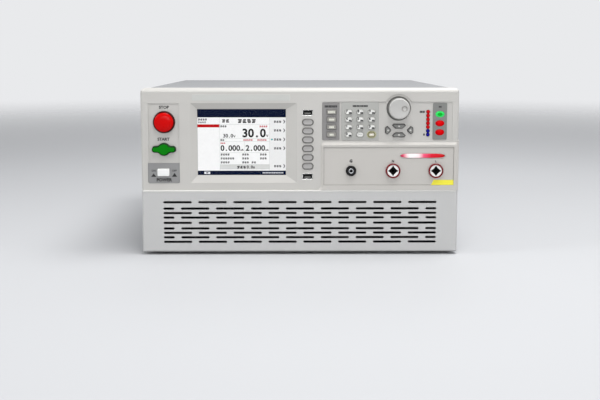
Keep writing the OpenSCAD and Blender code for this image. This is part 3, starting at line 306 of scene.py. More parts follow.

# %% [markdown]
# ## The common finish
#
# Moulded plastic, powder coat, print film and metal differ in their numbers more than in their make-up:
# a colour that drifts a little over centimetres, a fine relief from the tool or the spray, and a
# roughness that follows handling. Edges are a little smoother and paler: the paler tint stands for the wear
# of hands and cloths, and is also a painted highlight along every rounded edge. One function builds all of
# that, and each material below gives it its own real sizes.

# %% One surface, many finishes
FINISHES = {}
WEAR_AND_HIGHLIGHT_TINT = "#f2f1ee"
DRIFT_DETAIL, GRIT_DETAIL = 5.0, 2.0  # octaves of the two noises
GRIT_RANGE = (0.3, 0.7)  # where nearly all values of the fine noise lie
EDGE_RANGE = (0.98, 0.75)  # cosine between the rounded and the flat normal, from plain face to full wear and painted highlight


def surface(name, dark, light, rough, grain, relief, patch=70, metallic=0.0, stretch=(1, 1, 1),
            tinted=False, rub=0.0, edge=0.35, shine=0.5, **sockets):
    """A material whose colour drifts from dark to light over patches of patch mm, with a relief of
    relief mm in grains of grain mm, and roughness between two values. Tinted pieces take their colour
    from the tint on their faces; edges that turn sharply within edge mm are lightened by a set share, both as
    wear and as a painted highlight; shine is the level of the plain reflection."""
    material = bpy.data.materials.new(name)
    material.use_nodes = True
    tree = material.node_tree
    tree.nodes.clear()
    place = add(tree, "TexCoord").outputs["Object"]
    place = add(tree, "Mapping", {"Vector": place, "Scale": stretch}).outputs[0]
    drift = add(tree, "TexNoise", {"Vector": place, "Scale": per_metre(patch), "Detail": DRIFT_DETAIL})
    grit = add(tree, "TexNoise", {"Vector": place, "Scale": per_metre(grain), "Detail": GRIT_DETAIL})
    drift, grit = drift.outputs[0], grit.outputs[0]
    shade = add(tree, "MixRGB", {"Fac": drift, "Color1": linear(dark), "Color2": linear(light)})
    colour = shade.outputs[0]
    if tinted:
        tint = add(tree, "Attribute", attribute_name="tint").outputs["Color"]
        colour = add(tree, "MixRGB", {"Fac": 1.0, "Color1": tint, "Color2": colour},
                     blend_type="MULTIPLY").outputs[0]
    round_edge = add(tree, "Bevel", {"Radius": edge * MM}, samples=4).outputs[0]
    # Paler edges: wear, and a painted highlight along every rounded edge
    if rub:
        flat = add(tree, "NewGeometry").outputs["Normal"]
        bend = add(tree, "VectorMath", {0: round_edge, 1: flat}, operation="DOT_PRODUCT").outputs["Value"]
        wear_and_highlight_mask = add(tree, "MapRange", {"Value": bend, "From Min": EDGE_RANGE[0], "From Max": EDGE_RANGE[1],
                                      "To Max": rub})
        colour = add(tree, "MixRGB", {"Fac": wear_and_highlight_mask.outputs[0], "Color1": colour,
                                      "Color2": linear(WEAR_AND_HIGHLIGHT_TINT)}).outputs[0]
    gloss = add(tree, "MapRange", {"Value": grit, "From Min": GRIT_RANGE[0], "From Max": GRIT_RANGE[1],
                                   "To Min": rough[0], "To Max": rough[1]}).outputs[0]
    bump = add(tree, "Bump", {"Height": grit, "Distance": relief * MM, "Strength": 1.0,
                              "Normal": round_edge}).outputs[0]
    shader = add(tree, "BsdfPrincipled", {"Base Color": colour, "Roughness": gloss, "Normal": bump,
                                          "Metallic": metallic, "Specular IOR Level": shine, **sockets})
    add(tree, "OutputMaterial", {"Surface": shader.outputs[0]})
    FINISHES[name] = material
    return material


print("a grain of 0.5 mm is noise of scale", per_metre(0.5))

# %% [markdown]
# ## Plastics
#
# The two halves of the front are ABS, injection moulded in tools whose walls were spark eroded. That
# leaves a grain of about 0.2 mm, too fine for the render, so it is drawn at 0.5 mm. The raised terminal
# panel is the same plastic in a slightly warmer grey. Each call below gives a name, the dark and the light
# end of the colour's drift, the range of roughness, and the grain and its relief in millimetres.

# %% Moulded plastics
# Spark eroded ABS: a soft, wide sheen without a clear highlight, and edges a little paler, as wear and as a
# painted highlight
front_abs = surface("spark_grained_abs_grey", "#bab8b3", "#c1bfbb", (0.34, 0.46), 0.5, 0.010, rub=0.25)
grille_abs = surface("spark_grained_abs_lower_slot_shade", "#b8b8b7", "#bfbfbe", (0.36, 0.48), 0.5, 0.010, rub=0.2)
terminal_abs = surface("spark_grained_abs_warm", "#bcb9b4", "#c2bfba", (0.45, 0.55), 0.5, 0.010, rub=0.2,
                       shine=0.3)
# Polished ABS: small clear highlights on the rims of keys and knob, and deep colour on the buttons; the
# knob's rim is also lightened as a painted highlight
key_abs = surface("gloss_abs_keys", "#f4f4f4", WHITE, (0.26, 0.34), 0.4, 0.004, patch=8, tinted=True)
knob_abs = surface("satin_abs_knob", "#f2f2f2", WHITE, (0.15, 0.21), 0.35, 0.002, patch=15, rub=0.12,
                   tinted=True)
button_abs = surface("polished_abs_buttons", "#f0f0f0", WHITE, (0.14, 0.20), 0.6, 0.001, patch=12,
                     tinted=True, shine=0.1)
# Socket bodies: dull black nylon with a dry, mottled face, and clear dark red polycarbonate
black_nylon = surface("glass_filled_nylon_black", "#070708", "#0e0e10", (0.42, 0.58), 0.6, 0.010, rub=0.03,
                      shine=0.2)
red_nylon = surface("polycarbonate_red", "#660a13", "#780e18", (0.22, 0.32), 0.5, 0.004, shine=0.25)
# Port bodies: dull; socket liners: black and dull, painted shade of the bores, so that a hole reads as a hole
port_pbt = surface("moulded_pbt_ports", "#eeeeee", WHITE, (0.45, 0.6), 0.4, 0.006, tinted=True)
bore_shade = surface("painted_bore_shade_black", "#050505", "#090909", (0.7, 0.85), 0.5, 0.004, shine=0.1)
# Fan: glass filled PBT, whose coarse grain scatters light evenly
fan_pbt = surface("fan_pbt_black", "#191919", "#252526", (0.40, 0.55), 0.8, 0.012, rub=0.03)
rotor_pbt = surface("rotor_pbt_grey", "#2e2e2f", "#3c3c3d", (0.40, 0.55), 0.8, 0.012, rub=0.04)
# Painted shade in the knob's gap, and rubber feet: dry and matt, with no gloss at an edge, though the feet's
# edges are a little paler
gap_shade_grey = surface("painted_gap_shade_grey", "#737370", "#7f7f7c", (0.6, 0.75), 0.5, 0.01)
rubber = surface("moulded_rubber", "#1b1b1b", "#262625", (0.70, 0.88), 0.7, 0.02, rub=0.04)
print("plastics:", len(FINISHES))

# %% [markdown]
# ## Paint, film and metal
#
# The cover is folded steel with a powder coat, whose orange peel is a relief about 1.5 mm across; its grey
# is set darker than the rear's as painted shade, to offset the strong light from above. The grey plates
# are printed polycarbonate film with a velvet face, whose grain of 0.05 mm is drawn at 0.3 mm to show at
# all. The tray is plated with black zinc, whose near black is also painted shade for the inside of the case,
# so that the slots look dark. The heat sink is extruded aluminium with die lines along its length, and the
# screws are bright plated steel.

# %% Painted, printed and metal surfaces
# Powder coat: light spreads into a broad bloom that the orange peel breaks up; the cover's darker grey is
# painted shade
cover_coat_shaded = surface("powder_coat_grey_darkened_shade", "#868789", "#8e8f91", (0.55, 0.68), 1.5, 0.035, patch=120, rub=0.3,
                     edge=0.6, shine=0.15)
rear_coat = surface("powder_coat_rear", "#a9aaaa", "#b2b3b3", (0.52, 0.64), 1.5, 0.035, patch=120, rub=0.3,
                    edge=0.5, shine=0.2)
# Film and ink: even and matt, the plates a shade apart from each other
print_film = surface("printed_polycarbonate_film", "#f3f3f3", WHITE, (0.42, 0.52), 0.3, 0.004, patch=25,
                     tinted=True)
ink = surface("screen_printed_ink", "#f0f0f0", WHITE, (0.5, 0.62), 0.3, 0.003, patch=6, tinted=True)
power_film, function_film, number_film, lamp_film = (
    surface(f"film_{use}_grey", dark, light, (0.40, 0.50), 0.3, 0.004, patch=25)
    for use, dark, light in (("power", "#838383", "#8d8d8d"), ("function", "#7f7d7c", "#888685"),
                             ("number", "#a4a4a0", "#acaca8"), ("lamp", "#757673", "#7e7f7c")))
# Black zinc: nearly black, as plated and as painted shade inside the case, with slow clouds from the bath
black_zinc_and_shade = surface("black_zinc_plated_steel_and_shade", "#2c2d30", "#3c3d41", (0.42, 0.58), 3.0, 0.004, patch=12,
               metallic=0.8)
# Extruded aluminium: pale streaks drawn out along the profile
aluminium = surface("extruded_aluminium", "#b4b7ba", "#c6c8ca", (0.32, 0.46), 0.6, 0.006, patch=30,
                    metallic=1.0, stretch=(1, 0.04, 1))
# Nickel, tin and brass: small sharp reflections, neutral or warm
bright_steel = surface("nickel_plated_steel", "#a8aaad", "#bfc1c3", (0.18, 0.30), 0.8, 0.003, patch=6,
                       metallic=1.0)
tin = surface("tin_plated_shell", "#dcdcda", "#eeeeec", (0.22, 0.32), 0.6, 0.002, patch=5, metallic=1.0)
brass = surface("turned_brass", "#b79a55", "#ccb06c", (0.20, 0.32), 0.5, 0.004, patch=8, metallic=1.0)
# Frame of the display: blackened steel, dark and satin
lcd_frame = surface("display_frame_steel", "#34363a", "#414347", (0.35, 0.5), 0.8, 0.005)
print("finishes:", len(FINISHES))

# %% [markdown]
# ## Circuit board and winding
#
# A board is glass fibre laminate under black solder mask, where copper tracks show as slightly paler
# lines. No green shows through the slots, which is why the mask is taken to be black. The transformer is
# a toroid wrapped in dark tape, whose turns run round the ring's section, so the wrap is drawn from the
# angle round the ring's axis. Both start from the common finish and put one more pattern on it.

# %% Board and winding
TRACK_CELL = 7  # mm between tracks
TRACK_EDGE = (0.10, 0.02)  # share of a cell, from bare board to the middle of a track
TRACK_TINT, TRACK_SHOW = "#2a2b2c", 0.55
TAPE_TURNS, TAPE_RELIEF = 84, 0.4  # the relief in mm


def parts_of(material):
    """A material's node tree, its shader and the socket that colours it, for a pattern put on top."""
    tree = material.node_tree
    shader = next(node for node in tree.nodes if node.type == "BSDF_PRINCIPLED")
    return tree, shader, shader.inputs["Base Color"].links[0].from_socket


def laminate():
    """Black solder mask with paler tracks, whose net is the edges of a Voronoi pattern."""
    material = surface("solder_mask_laminate", "#0f1011", "#17181a", (0.30, 0.42), 0.8, 0.004, patch=18)
    tree, shader, base = parts_of(material)
    place = add(tree, "TexCoord").outputs["Object"]
    tracks = add(tree, "TexVoronoi", {"Vector": place, "Scale": per_metre(TRACK_CELL)},
                 distance="MANHATTAN", feature="DISTANCE_TO_EDGE").outputs[0]
    line = add(tree, "MapRange", {"Value": tracks, "From Min": TRACK_EDGE[0], "From Max": TRACK_EDGE[1],
                                  "To Max": TRACK_SHOW})
    mixed = add(tree, "MixRGB", {"Fac": line.outputs[0], "Color1": base, "Color2": linear(TRACK_TINT)})
    tree.links.new(mixed.outputs[0], shader.inputs["Base Color"])
    return material


def winding(node):
    """Polyester tape wound round a ring: a wave of the angle about the ring's axis."""
    material = surface("polyester_tape_dark", "#1d1d20", "#2c2c30", (0.26, 0.40), 1.0, 0.008, patch=10)
    tree, shader, _ = parts_of(material)
    centre = to_world(np.mean(limits(node), axis=0))
    place = add(tree, "TexCoord").outputs["Object"]
    place = add(tree, "Mapping", {"Vector": place, "Location": -centre}).outputs[0]
    angle = add(tree, "TexGradient", {"Vector": place}, gradient_type="RADIAL").outputs["Fac"]
    wave = add(tree, "Math", {0: angle, 1: TAPE_TURNS}, operation="MULTIPLY").outputs[0]
    step = add(tree, "Math", {0: wave, 1: 1.0}, operation="PINGPONG").outputs[0]
    bump = add(tree, "Bump", {"Height": step, "Distance": TAPE_RELIEF * MM, "Strength": 0.7}).outputs[0]
    tree.links.new(bump, shader.inputs["Normal"])
    return material


board = laminate()
tape = winding("isolation_transformer")
print("tape turns:", TAPE_TURNS)

# %% [markdown]
# The walls of the lower moulding's slots and everything behind them lie in shade, so the moulding is
# darkened inside with painted shade. It lies on everything behind the front skin and inside the
# moulding's rims, so a box on Object coordinates picks it out.

# %% Painted shade in the slots
# Near black, painted in as shade
SLOT_SHADE_TINT = "#101011"
SLOT_SHADE_RIM, SLOT_SHADE_SKIN = 3.6, 0.35  # mm of rim at the sides, and of skin at the front, left without painted shade


def inner_coat(material, node):
    """Mixes the painted shade in where skin < depth, and where x and height lie inside the node's rims."""
    tree, shader, base = parts_of(material)
    low, high = limits(node)
    start = to_world(low + [SLOT_SHADE_RIM, SLOT_SHADE_SKIN, SLOT_SHADE_RIM])
    stop = to_world(high - [SLOT_SHADE_RIM, 0, SLOT_SHADE_RIM])
    place = add(tree, "SeparateXYZ", {0: add(tree, "TexCoord").outputs["Object"]}).outputs
    inside = add(tree, "Math", {0: place["Y"], 1: start[1]}, operation="GREATER_THAN").outputs[0]
    for axis, name in ((0, "X"), (2, "Z")):
        for edge, operation in ((start[axis], "GREATER_THAN"), (stop[axis], "LESS_THAN")):
            side = add(tree, "Math", {0: place[name], 1: edge}, operation=operation).outputs[0]
            inside = add(tree, "Math", {0: inside, 1: side}, operation="MULTIPLY").outputs[0]
    mixed = add(tree, "MixRGB", {"Fac": inside, "Color1": base, "Color2": linear(SLOT_SHADE_TINT)})
    tree.links.new(mixed.outputs[0], shader.inputs["Base Color"])


# The inside of the lower moulding takes painted shade
inner_coat(grille_abs, "lower_grille")
print("coat starts", SLOT_SHADE_SKIN, "mm behind the front skin")

# %% [markdown]
# ## Light in plastic
#
# Lamps and the long warning lens are clear tinted acrylic with a light behind. A little of their colour is
# given off, and a smooth skin keeps the gloss. The screen is a liquid crystal display: each shape on it
# gives off its own tint, seen through a thin anti-glare window that reflects little.

# %% Lit plastics and the window
# Colour along the lens: the lamp's red glow, with a white core that is a painted highlight
LENS_GLOW_AND_HIGHLIGHT = [(0.0, "#8c1030"), (0.09, "#d84868"), (0.17, "#ffd8dc"), (0.24, "#ffffff"), (0.42, "#ffe4e8"),
             (0.52, "#f05c80"), (0.68, "#dc1030"), (0.90, "#c80812"), (1.0, "#6c0408")]


def lit(name, strength, rough, shine, body):
    """A tinted surface that gives off its own tint; shine is how much its skin reflects of the lights, and
    body how much of its colour answers to them."""
    material = surface(name, "#f4f4f4", WHITE, rough, 0.5, 0.002, patch=4, tinted=True, shine=shine,
                       **{"Emission Strength": strength})
    tree, shader, own = parts_of(material)
    tree.links.new(own, shader.inputs["Emission Color"])
    dimmed = add(tree, "VectorMath", {0: own, "Scale": body}, operation="SCALE").outputs[0]
    tree.links.new(dimmed, shader.inputs["Base Color"])
    return material


def warning_glow(node):
    """Red acrylic with one lamp behind its left third: along x its colour falls from white to deep red; the
    red is the lamp's glow and the white core a painted highlight.
    """
    material = lit("red_acrylic_lit", 0.55, (0.2, 0.3), 0.2, 0.55)
    tree, shader, _ = parts_of(material)
    left, right = (to_world(corner)[0] for corner in limits(node))
    across = add(tree, "SeparateXYZ", {0: add(tree, "TexCoord").outputs["Object"]}).outputs["X"]
    share = add(tree, "MapRange", {"Value": across, "From Min": left, "From Max": right}).outputs[0]
    ramp = add(tree, "ValToRGB", {0: share})
    stops = ramp.color_ramp.elements
    for position, _ in LENS_GLOW_AND_HIGHLIGHT[1:-1]:
        stops.new(position)
    for stop, (position, tint) in zip(stops, LENS_GLOW_AND_HIGHLIGHT):
        stop.position, stop.color = position, linear(tint)
    for socket in ("Base Color", "Emission Color"):
        own = shader.inputs[socket].links[0].from_socket
        mixed = add(tree, "MixRGB", {"Fac": 1.0, "Color1": own, "Color2": ramp.outputs[0]},
                    blend_type="MULTIPLY")
        tree.links.new(mixed.outputs[0], shader.inputs[socket])
    return material


# Lamps mostly answer to the room, the lens gives off about half of its light, the display nearly all
lamp_acrylic = lit("tinted_acrylic_lamps", 0.15, (0.2, 0.3), 0.05, 0.9)
lens_acrylic = warning_glow("warning_lens")
display_light = lit("lit_display", 1.0, (0.3, 0.4), 0.0, 0.04)
# Acrylic window with an anti-glare coat: almost invisible, so its IOR is set well below bare acrylic's
window_pmma = surface("antiglare_acrylic_window", "#fbfcfd", WHITE, (0.03, 0.05), 0.5, 0.001,
                      **{"Transmission Weight": 1.0, "IOR": 1.15})
print("finishes:", len(FINISHES))

# %% [markdown]
# ## Finishes for the solids that stay
#
# Case, mouldings and inner pieces have the right shape already, so they only change their material.

# %% Dress the CAD nodes
DRESSED = {
    front_abs: ["front_bezel"],
    grille_abs: ["lower_grille"],
    terminal_abs: ["terminal_panel"],
    cover_coat_shaded: ["top_cover"],
    rear_coat: ["rear_panel"],
    black_zinc_and_shade: ["base_tray"],
    power_film: ["power_plate"],
    function_film: ["function_plate"],
    number_film: ["number_plate"],
    lamp_film: ["lamp_plate"],
    lcd_frame: ["display_module"],
    red_nylon: ["neutral_socket", "live_socket"],
    black_nylon: ["ground_socket", "mains_inlet"],
    board: ["keypad_board", "switch_board", "control_board"],
    tape: ["isolation_transformer"],
    aluminium: ["amplifier_heat_sink"],
    fan_pbt: ["fan_frame"],
    rotor_pbt: ["fan_rotor"],
    bright_steel: ["interface_socket", "case_screws"],
    brass: ["earth_stud"],
    rubber: ["feet"],
}
for finish, names in DRESSED.items():
    for name in names:
        if NODES[name].material_slots:
            NODES[name].material_slots[0].material = finish
        else:
            NODES[name].data.materials.append(finish)
print("dressed", sum(map(len, DRESSED.values())), "nodes")

# %% [markdown]
# ## Sprung keys
#
# Each small key is a moulded cap with a catch behind the face, which the spring holds against the panel.
# The solids have plain bevels; real caps have a rounded rim and a face dished for the fingertip, which
# is what catches the light. The cap is the key's outline carried from the catch to the rim and then
# shrunk to the middle of the face. The legend is printed on it and moves with it.

# %% Key caps
CATCH = 1.0  # how far the catch stands out all round
CATCH_NEAR = 3.8  # depth of the catch's front, behind the panel
RIM_STEPS = 7
FACE_RINGS = 8
BACK_RINGS = 4


def cap_steps(reach, far, edge, dish, catch, border):
    """Catch, side, a quarter round rim, a flat border and the face: depth = -reach + dish (1 - s^2)."""
    turn = np.linspace(0, np.pi / 2, RIM_STEPS)
    rim = np.column_stack([np.ones(RIM_STEPS), edge * (np.cos(turn) - 1), edge * (1 - np.sin(turn)) - reach])
    inward = np.linspace(1, 0, FACE_RINGS)
    face = np.column_stack([inward, np.full(FACE_RINGS, -edge - border), dish * (1 - inward**2) - reach])
    back = [[0, catch, far], [1, catch, far], [1, catch, CATCH_NEAR], [1, 0, CATCH_NEAR]]
    return np.concatenate([back, rim, face])


def two_tints(outline, steps, at, rim_tint, face_tint):
    """A cap whose catch, side, rim and border have one tint and whose face has another."""
    face = BACK_RINGS + RIM_STEPS
    return [(loft(outline, steps[: face + 1], at), rim_tint), (loft(outline, steps[face:], at), face_tint)]


def cap(node, radius, rim_tint, face_tint, edge=0.7, dish=0.2, border=0.3):
    """A key cap in place of a CAD key, from that key's own box."""
    low, high = limits(node)
    size = high - low - 2 * CATCH
    steps = cap_steps(-low[1], high[1], edge, dish, CATCH, border)
    return two_tints(box_outline(size[0], size[2], radius), steps, middle(node), rim_tint, face_tint)


print("a cap is made of", len(cap_steps(4, 5, 0.7, 0.2, CATCH, 0.3)), "rings")

# %% [markdown]
# A mark on a key is a thin solid that starts just in front of the cap's face and reaches into it, since the
# face is dished. The number keys carry bold digits, and the other keys rows of dashes.

# %% Marks on keys
MARK_PROUD = 0.02
DASH_THICK, DIGIT_THICK = 0.22, 0.3
DIGIT_AT, DIGIT_H = (-2.6, -0.4), 3.2


def dashes(node, start, count, width, gap, rise, height, tint):
    """A row of printed dashes on a key; start and rise are measured from the key's middle."""
    x, z = middle(node)
    near = limits(node)[0][1] - MARK_PROUD
    left = x + start + np.arange(count) * (width + gap)
    return [(bar((edge, edge + width), (z + rise, z + rise + height), near, near + DASH_THICK), tint)
            for edge in left]


def digit(node, text, tint):
    """A bold digit at the upper left of a key."""
    x, z = middle(node) + DIGIT_AT
    return (word(text, x, z, DIGIT_H, limits(node)[0][1] - MARK_PROUD, 0.07, DIGIT_THICK), tint)


DIGIT_INK, KEY_WHITE, KEY_EDGE = "#161618", "#eaeae6", "#cfcfca"
for i in range(10):
    name = f"number_key_{i}"
    marks = [digit(name, str(i), DIGIT_INK)] + dashes(name, 0.1, 3, 1.15, 0.1, -2.5, 2.4, DIGIT_INK)
    make_cap(name, cap(name, PILL, KEY_EDGE, KEY_WHITE) + marks, key_abs)
marks = dashes("clear_key", -2.6, 4, 1.0, 0.4, -0.6, 1.1, "#a4a4a4")
make_cap("clear_key", cap("clear_key", PILL, "#c4c4c0", "#e2e2de") + marks, key_abs)
marks = dashes("enter_key", -2.6, 3, 1.5, 0.3, -0.7, 1.4, "#f2eee6")
make_cap("enter_key", cap("enter_key", PILL, "#84815c", "#c6c0ac", border=0.4) + marks, key_abs)
# The dark rim of each soft key is partly the cap's own darker grey and partly painted shade of the gap round
# it
for i in range(1, 7):
    name = f"soft_key_{i}"
    make_cap(name, cap(name, PILL, "#6c6b68", "#a4a2a0", border=0.6), key_abs)
CAPTIONS = {4: (-4.7, 5, 1.55, 0.3), 3: (-3.3, 4, 1.5, 0.3), 2: (-3.0, 3, 1.8, 0.3), 1: (-2.6, 3, 1.6, 0.3)}
for i, (start, count, width, gap) in CAPTIONS.items():
    name = f"function_key_{i}"
    marks = dashes(name, start, count, width, gap, -1.3, 2.6, "#e6e5d8")
    make_cap(name, cap(name, 1.1, "#8b8984", "#93918b", border=0) + marks, key_abs)

# %% [markdown]
# ## Arrow keys
#
# Up and down are flat hexagons, left and right stand upright, and they close round a middle field. Their
# corners are rounded by the mould, their rims are darker than their faces, and a pale dot marks each one.

# %% Arrow caps
ARROW_CATCH, ARROW_R, ARROW_EDGE, ARROW_DISH, ARROW_BORDER, DOT_R = 0.8, 1.2, 0.6, 0.15, 0.55, 1.2
UP = [[-9.1, 0.9], [-4.6, -2.95], [4.6, -2.95], [9.1, 0.9], [7, 2.95], [-7, 2.95]]
SIDE = [[-3.75, 3.2], [-3.75, -3.2], [-0.6, -5.5], [3.75, -1.2], [3.75, 1.2], [-0.6, 5.5]]
ARROWS = {"up": (UP, (1, 1)), "down": (UP, (-1, -1)), "left": (SIDE, (1, 1)), "right": (SIDE, (-1, -1))}
for side, (corners, flip) in ARROWS.items():
    name = f"arrow_key_{side}"
    low, high = limits(name)
    at = middle(name)
    steps = cap_steps(-low[1], high[1], ARROW_EDGE, ARROW_DISH, ARROW_CATCH, ARROW_BORDER)
    near, far = low[1] - MARK_PROUD, low[1] - MARK_PROUD + DASH_THICK
    dot = turned([[0, near], [DOT_R, near], [DOT_R, far], [0, far]], at, 20)
    arrow = two_tints(rounded(np.array(corners) * flip, ARROW_R), steps, at, "#4c4c4a", "#7c7c79")
    make_cap(name, arrow + [(dot, "#cfcec9")], key_abs)
print("arrow keys:", len(ARROWS))

# %% [markdown]
# ## Stop, start and power
#
# The stop button is a polished red dome with a soft shoulder, set in a chamfered skirt whose dark red is
# painted shade. The crown is a fourth power of the distance from the middle, flat at first and steep at the
# shoulder, where light gathers. The start button is one outline of a round hump between two lobes, joined
# by hollow blends: an arc, a hollow arc and a lobe, mirrored into four quarters; its dark green rim is
# painted shade. The power button is a plain white cap.

# %% Stop button
low, high = limits("stop_button")
stop_r = (high[0] - low[0]) / 2 - CATCH
DOME_SHARE, DOME_RISE, DOME_POWER, DOME_RINGS = 0.88, 2.4, 4, 26
# Each step of the skirt's chamfer is a share of the radius and its depth behind the crown
SKIRT_CHAMFER = [(1, 3.4), (0.97, 2.7), (0.92, 2.5), (DOME_SHARE, 2.9)]
inward = np.linspace(1, 0, DOME_RINGS)
dome = np.column_stack([stop_r * DOME_SHARE * inward, low[1] + DOME_RISE * inward**DOME_POWER])
skirt = [[0, high[1]], [stop_r + CATCH, high[1]], [stop_r + CATCH, CATCH_NEAR], [stop_r, CATCH_NEAR]]
skirt += [[stop_r * share, low[1] + behind] for share, behind in SKIRT_CHAMFER]
at = middle("stop_button")
# The skirt's dark red is painted shade of the chamfer turning away; the dome is the plastic's red
make_cap("stop_button", [(turned(skirt, at), "#420b0a"),
                         (turned(np.concatenate([skirt[-1:], dome]), at), "#cc0404")], button_abs)
print("stop button", round(2 * stop_r, 1), "mm across")


# %% Start and power buttons
def arc(centre, radius, start, end, steps, inward=False):
    """Points of an arc between two angles in degrees, with normals outwards, or inwards when hollow."""
    angle = np.radians(np.linspace(start, end, steps))
    ring = np.column_stack([np.cos(angle), np.sin(angle)])
    return np.array(centre) + radius * ring, -ring if inward else ring


def start_outline(width, hump, lobe, blend):
    """The right half of the start button's outline from its top to its foot, and the same turned round."""
    rise = lobe + blend
    run = math.sqrt((hump + blend) ** 2 - rise**2)
    lean = math.degrees(math.atan2(rise, run))
    parts = [arc((0, 0), hump, 90, lean, 16), arc((run, rise), blend, lean + 180, 270, 9, True),
             arc((width / 2 - lobe, 0), lobe, 90, -90, 25), arc((run, -rise), blend, 90, 180 - lean, 9, True),
             arc((0, 0), hump, -lean, -90, 16)]
    ring, normals = (np.concatenate([part[i] for part in parts]) for i in (0, 1))
    return np.concatenate([ring, -ring[1:-1]]), np.concatenate([normals, -normals[1:-1]])


LOBE_R, BLEND_R, START_EDGE, START_BORDER = 4.3, 4.0, 1.3, 0.2
low, high = limits("start_button")
start_w, start_h = (high - low)[[0, 2]] - 2 * CATCH
start_ring = start_outline(start_w, start_h / 2, LOBE_R, BLEND_R)
start_steps = cap_steps(-low[1], high[1], START_EDGE, 0.0, CATCH, START_BORDER)
# The rim's dark green is painted shade; the face is the plastic's green
make_cap("start_button", two_tints(start_ring, start_steps, middle("start_button"), "#023806", "#037c08"),
         button_abs)
power_cap = cap("power_button", 1.3, "#f6f6f4", "#f1f1f0", 0.8, 0.0, 0.3)
make_cap("power_button", power_cap, key_abs)
print("start button", round(start_w, 1), "by", round(start_h, 1), "mm")

# %% [markdown]
# ## The control knob
#
# The knob is moulded: a skirt tinted dark as painted shade of the gap round it, a pale cap with a rounded
# rim and a face that falls a little towards the middle, and a bowl for one fingertip near the rim. The bowl
# has a steep wall and a flat floor: over the wall the relief is the smooth step 3 t^2 - 2 t^3, and a darker
# ring of painted shade lines that wall. A grey disc of painted shade lies in the gap round the knob.

# %% Face and bowl
BOWL_X, BOWL_R, BOWL_WALL, BOWL_D, FACE_DISH = 6.8, 4.3, 2.3, 0.9, 0.3
SHAFT_R, KNOB_FAR, CAP_R, CAP_EDGE = 3.0, 2.5, 13.8, 1.5
DISH_R = CAP_R - CAP_EDGE
low, high = limits("control_knob")
knob_r, crown = (high[0] - low[0]) / 2, low[1]


def bowl_depth(away):
    """The bowl's relief at a distance from its middle: D (3 t^2 - 2 t^3), t = (R - away) / wall."""
    t = np.clip((BOWL_R - away) / BOWL_WALL, 0, 1)
    return BOWL_D * (3 * t**2 - 2 * t**3)


def bowl(x, z, depth):
    """The bowl's relief on the front face only."""
    return np.where(depth < crown + 1, bowl_depth(np.hypot(x - BOWL_X, z)), 0)


def face_depth(x, z):
    """The dished face behind its rim: dish (1 - (r / rim)^2)."""
    return FACE_DISH * (1 - (np.hypot(x, z) / DISH_R) ** 2)


def lining_relief(x, z, depth):
    """The ring of painted shade follows the dished face round the bowl."""
    return face_depth(x + BOWL_X, z)


print("floor of the bowl", round(float(bowl_depth(0) + face_depth(BOWL_X, 0)), 2), "mm behind the rim")

# %% Knob and gap shade
KNOB_STEPS, RIM_ARC, DISH_RINGS, BOWL_SHADE_RINGS = 144, 9, 46, 8
turn = np.linspace(0, np.pi / 2, RIM_ARC)
rim = np.column_stack([CAP_R - CAP_EDGE * (1 - np.cos(turn)), crown + CAP_EDGE * (1 - np.sin(turn))])
inward = np.linspace(DISH_R, 0, DISH_RINGS)[1:]
face = np.column_stack([inward, crown + face_depth(inward, 0)])
skirt = [[0, high[1]], [SHAFT_R, high[1]], [SHAFT_R, KNOB_FAR], [knob_r, KNOB_FAR],
         [knob_r, crown + CAP_EDGE + 0.9], [CAP_R + 0.1, crown + CAP_EDGE + 0.3], rim[0]]
at = middle("control_knob")
wall = np.linspace(BOWL_R - 0.1, BOWL_R - BOWL_WALL + 0.3, BOWL_SHADE_RINGS)
bowl_shade = [[r, crown + bowl_depth(r) - 0.04] for r in wall]
bowl_shade += [[wall[-1], crown + BOWL_D + 0.1], [wall[0], crown + 0.4]]
# The skirt's dark grey is painted shade of the gap round the knob; the bowl's darker ring is painted shade in
# the bowl
make_cap("control_knob", [(turned(skirt, at, KNOB_STEPS), "#94938f"),
                          (turned(np.concatenate([rim, face]), at, KNOB_STEPS, bowl), "#c0bfbc"),
                          (turned(bowl_shade, at + [BOWL_X, 0], 48, lining_relief, True), "#9f9d99")],
         knob_abs)
# A grey disc in the gap round the knob: painted shade
GAP_SHADE_IN, GAP_SHADE_OUT, WELL_D, GAP_SHADE_THICK = 4.5, 16.3, 3.0, 0.3
gap_shade_near = WELL_D - GAP_SHADE_THICK
gap_shade = [[GAP_SHADE_IN, WELL_D], [GAP_SHADE_IN, gap_shade_near], [GAP_SHADE_OUT, gap_shade_near], [GAP_SHADE_OUT, WELL_D]]
make("knob_gap_shade", [(turned(gap_shade, at, looped=True), WHITE)], gap_shade_grey)
print("knob", round(2 * knob_r, 1), "mm across")

# %% [markdown]
# ## Lamps
#
# Seven round lamps stand in a column and three oval ones beside it, all of them light pipes that end in a
# low dome. They belong to one moulding, so they are one piece with a tint for each lamp, and low webs join
# the round ones. The two lowest round lamps are blue, the others red. The top oval lamp is green and lit.

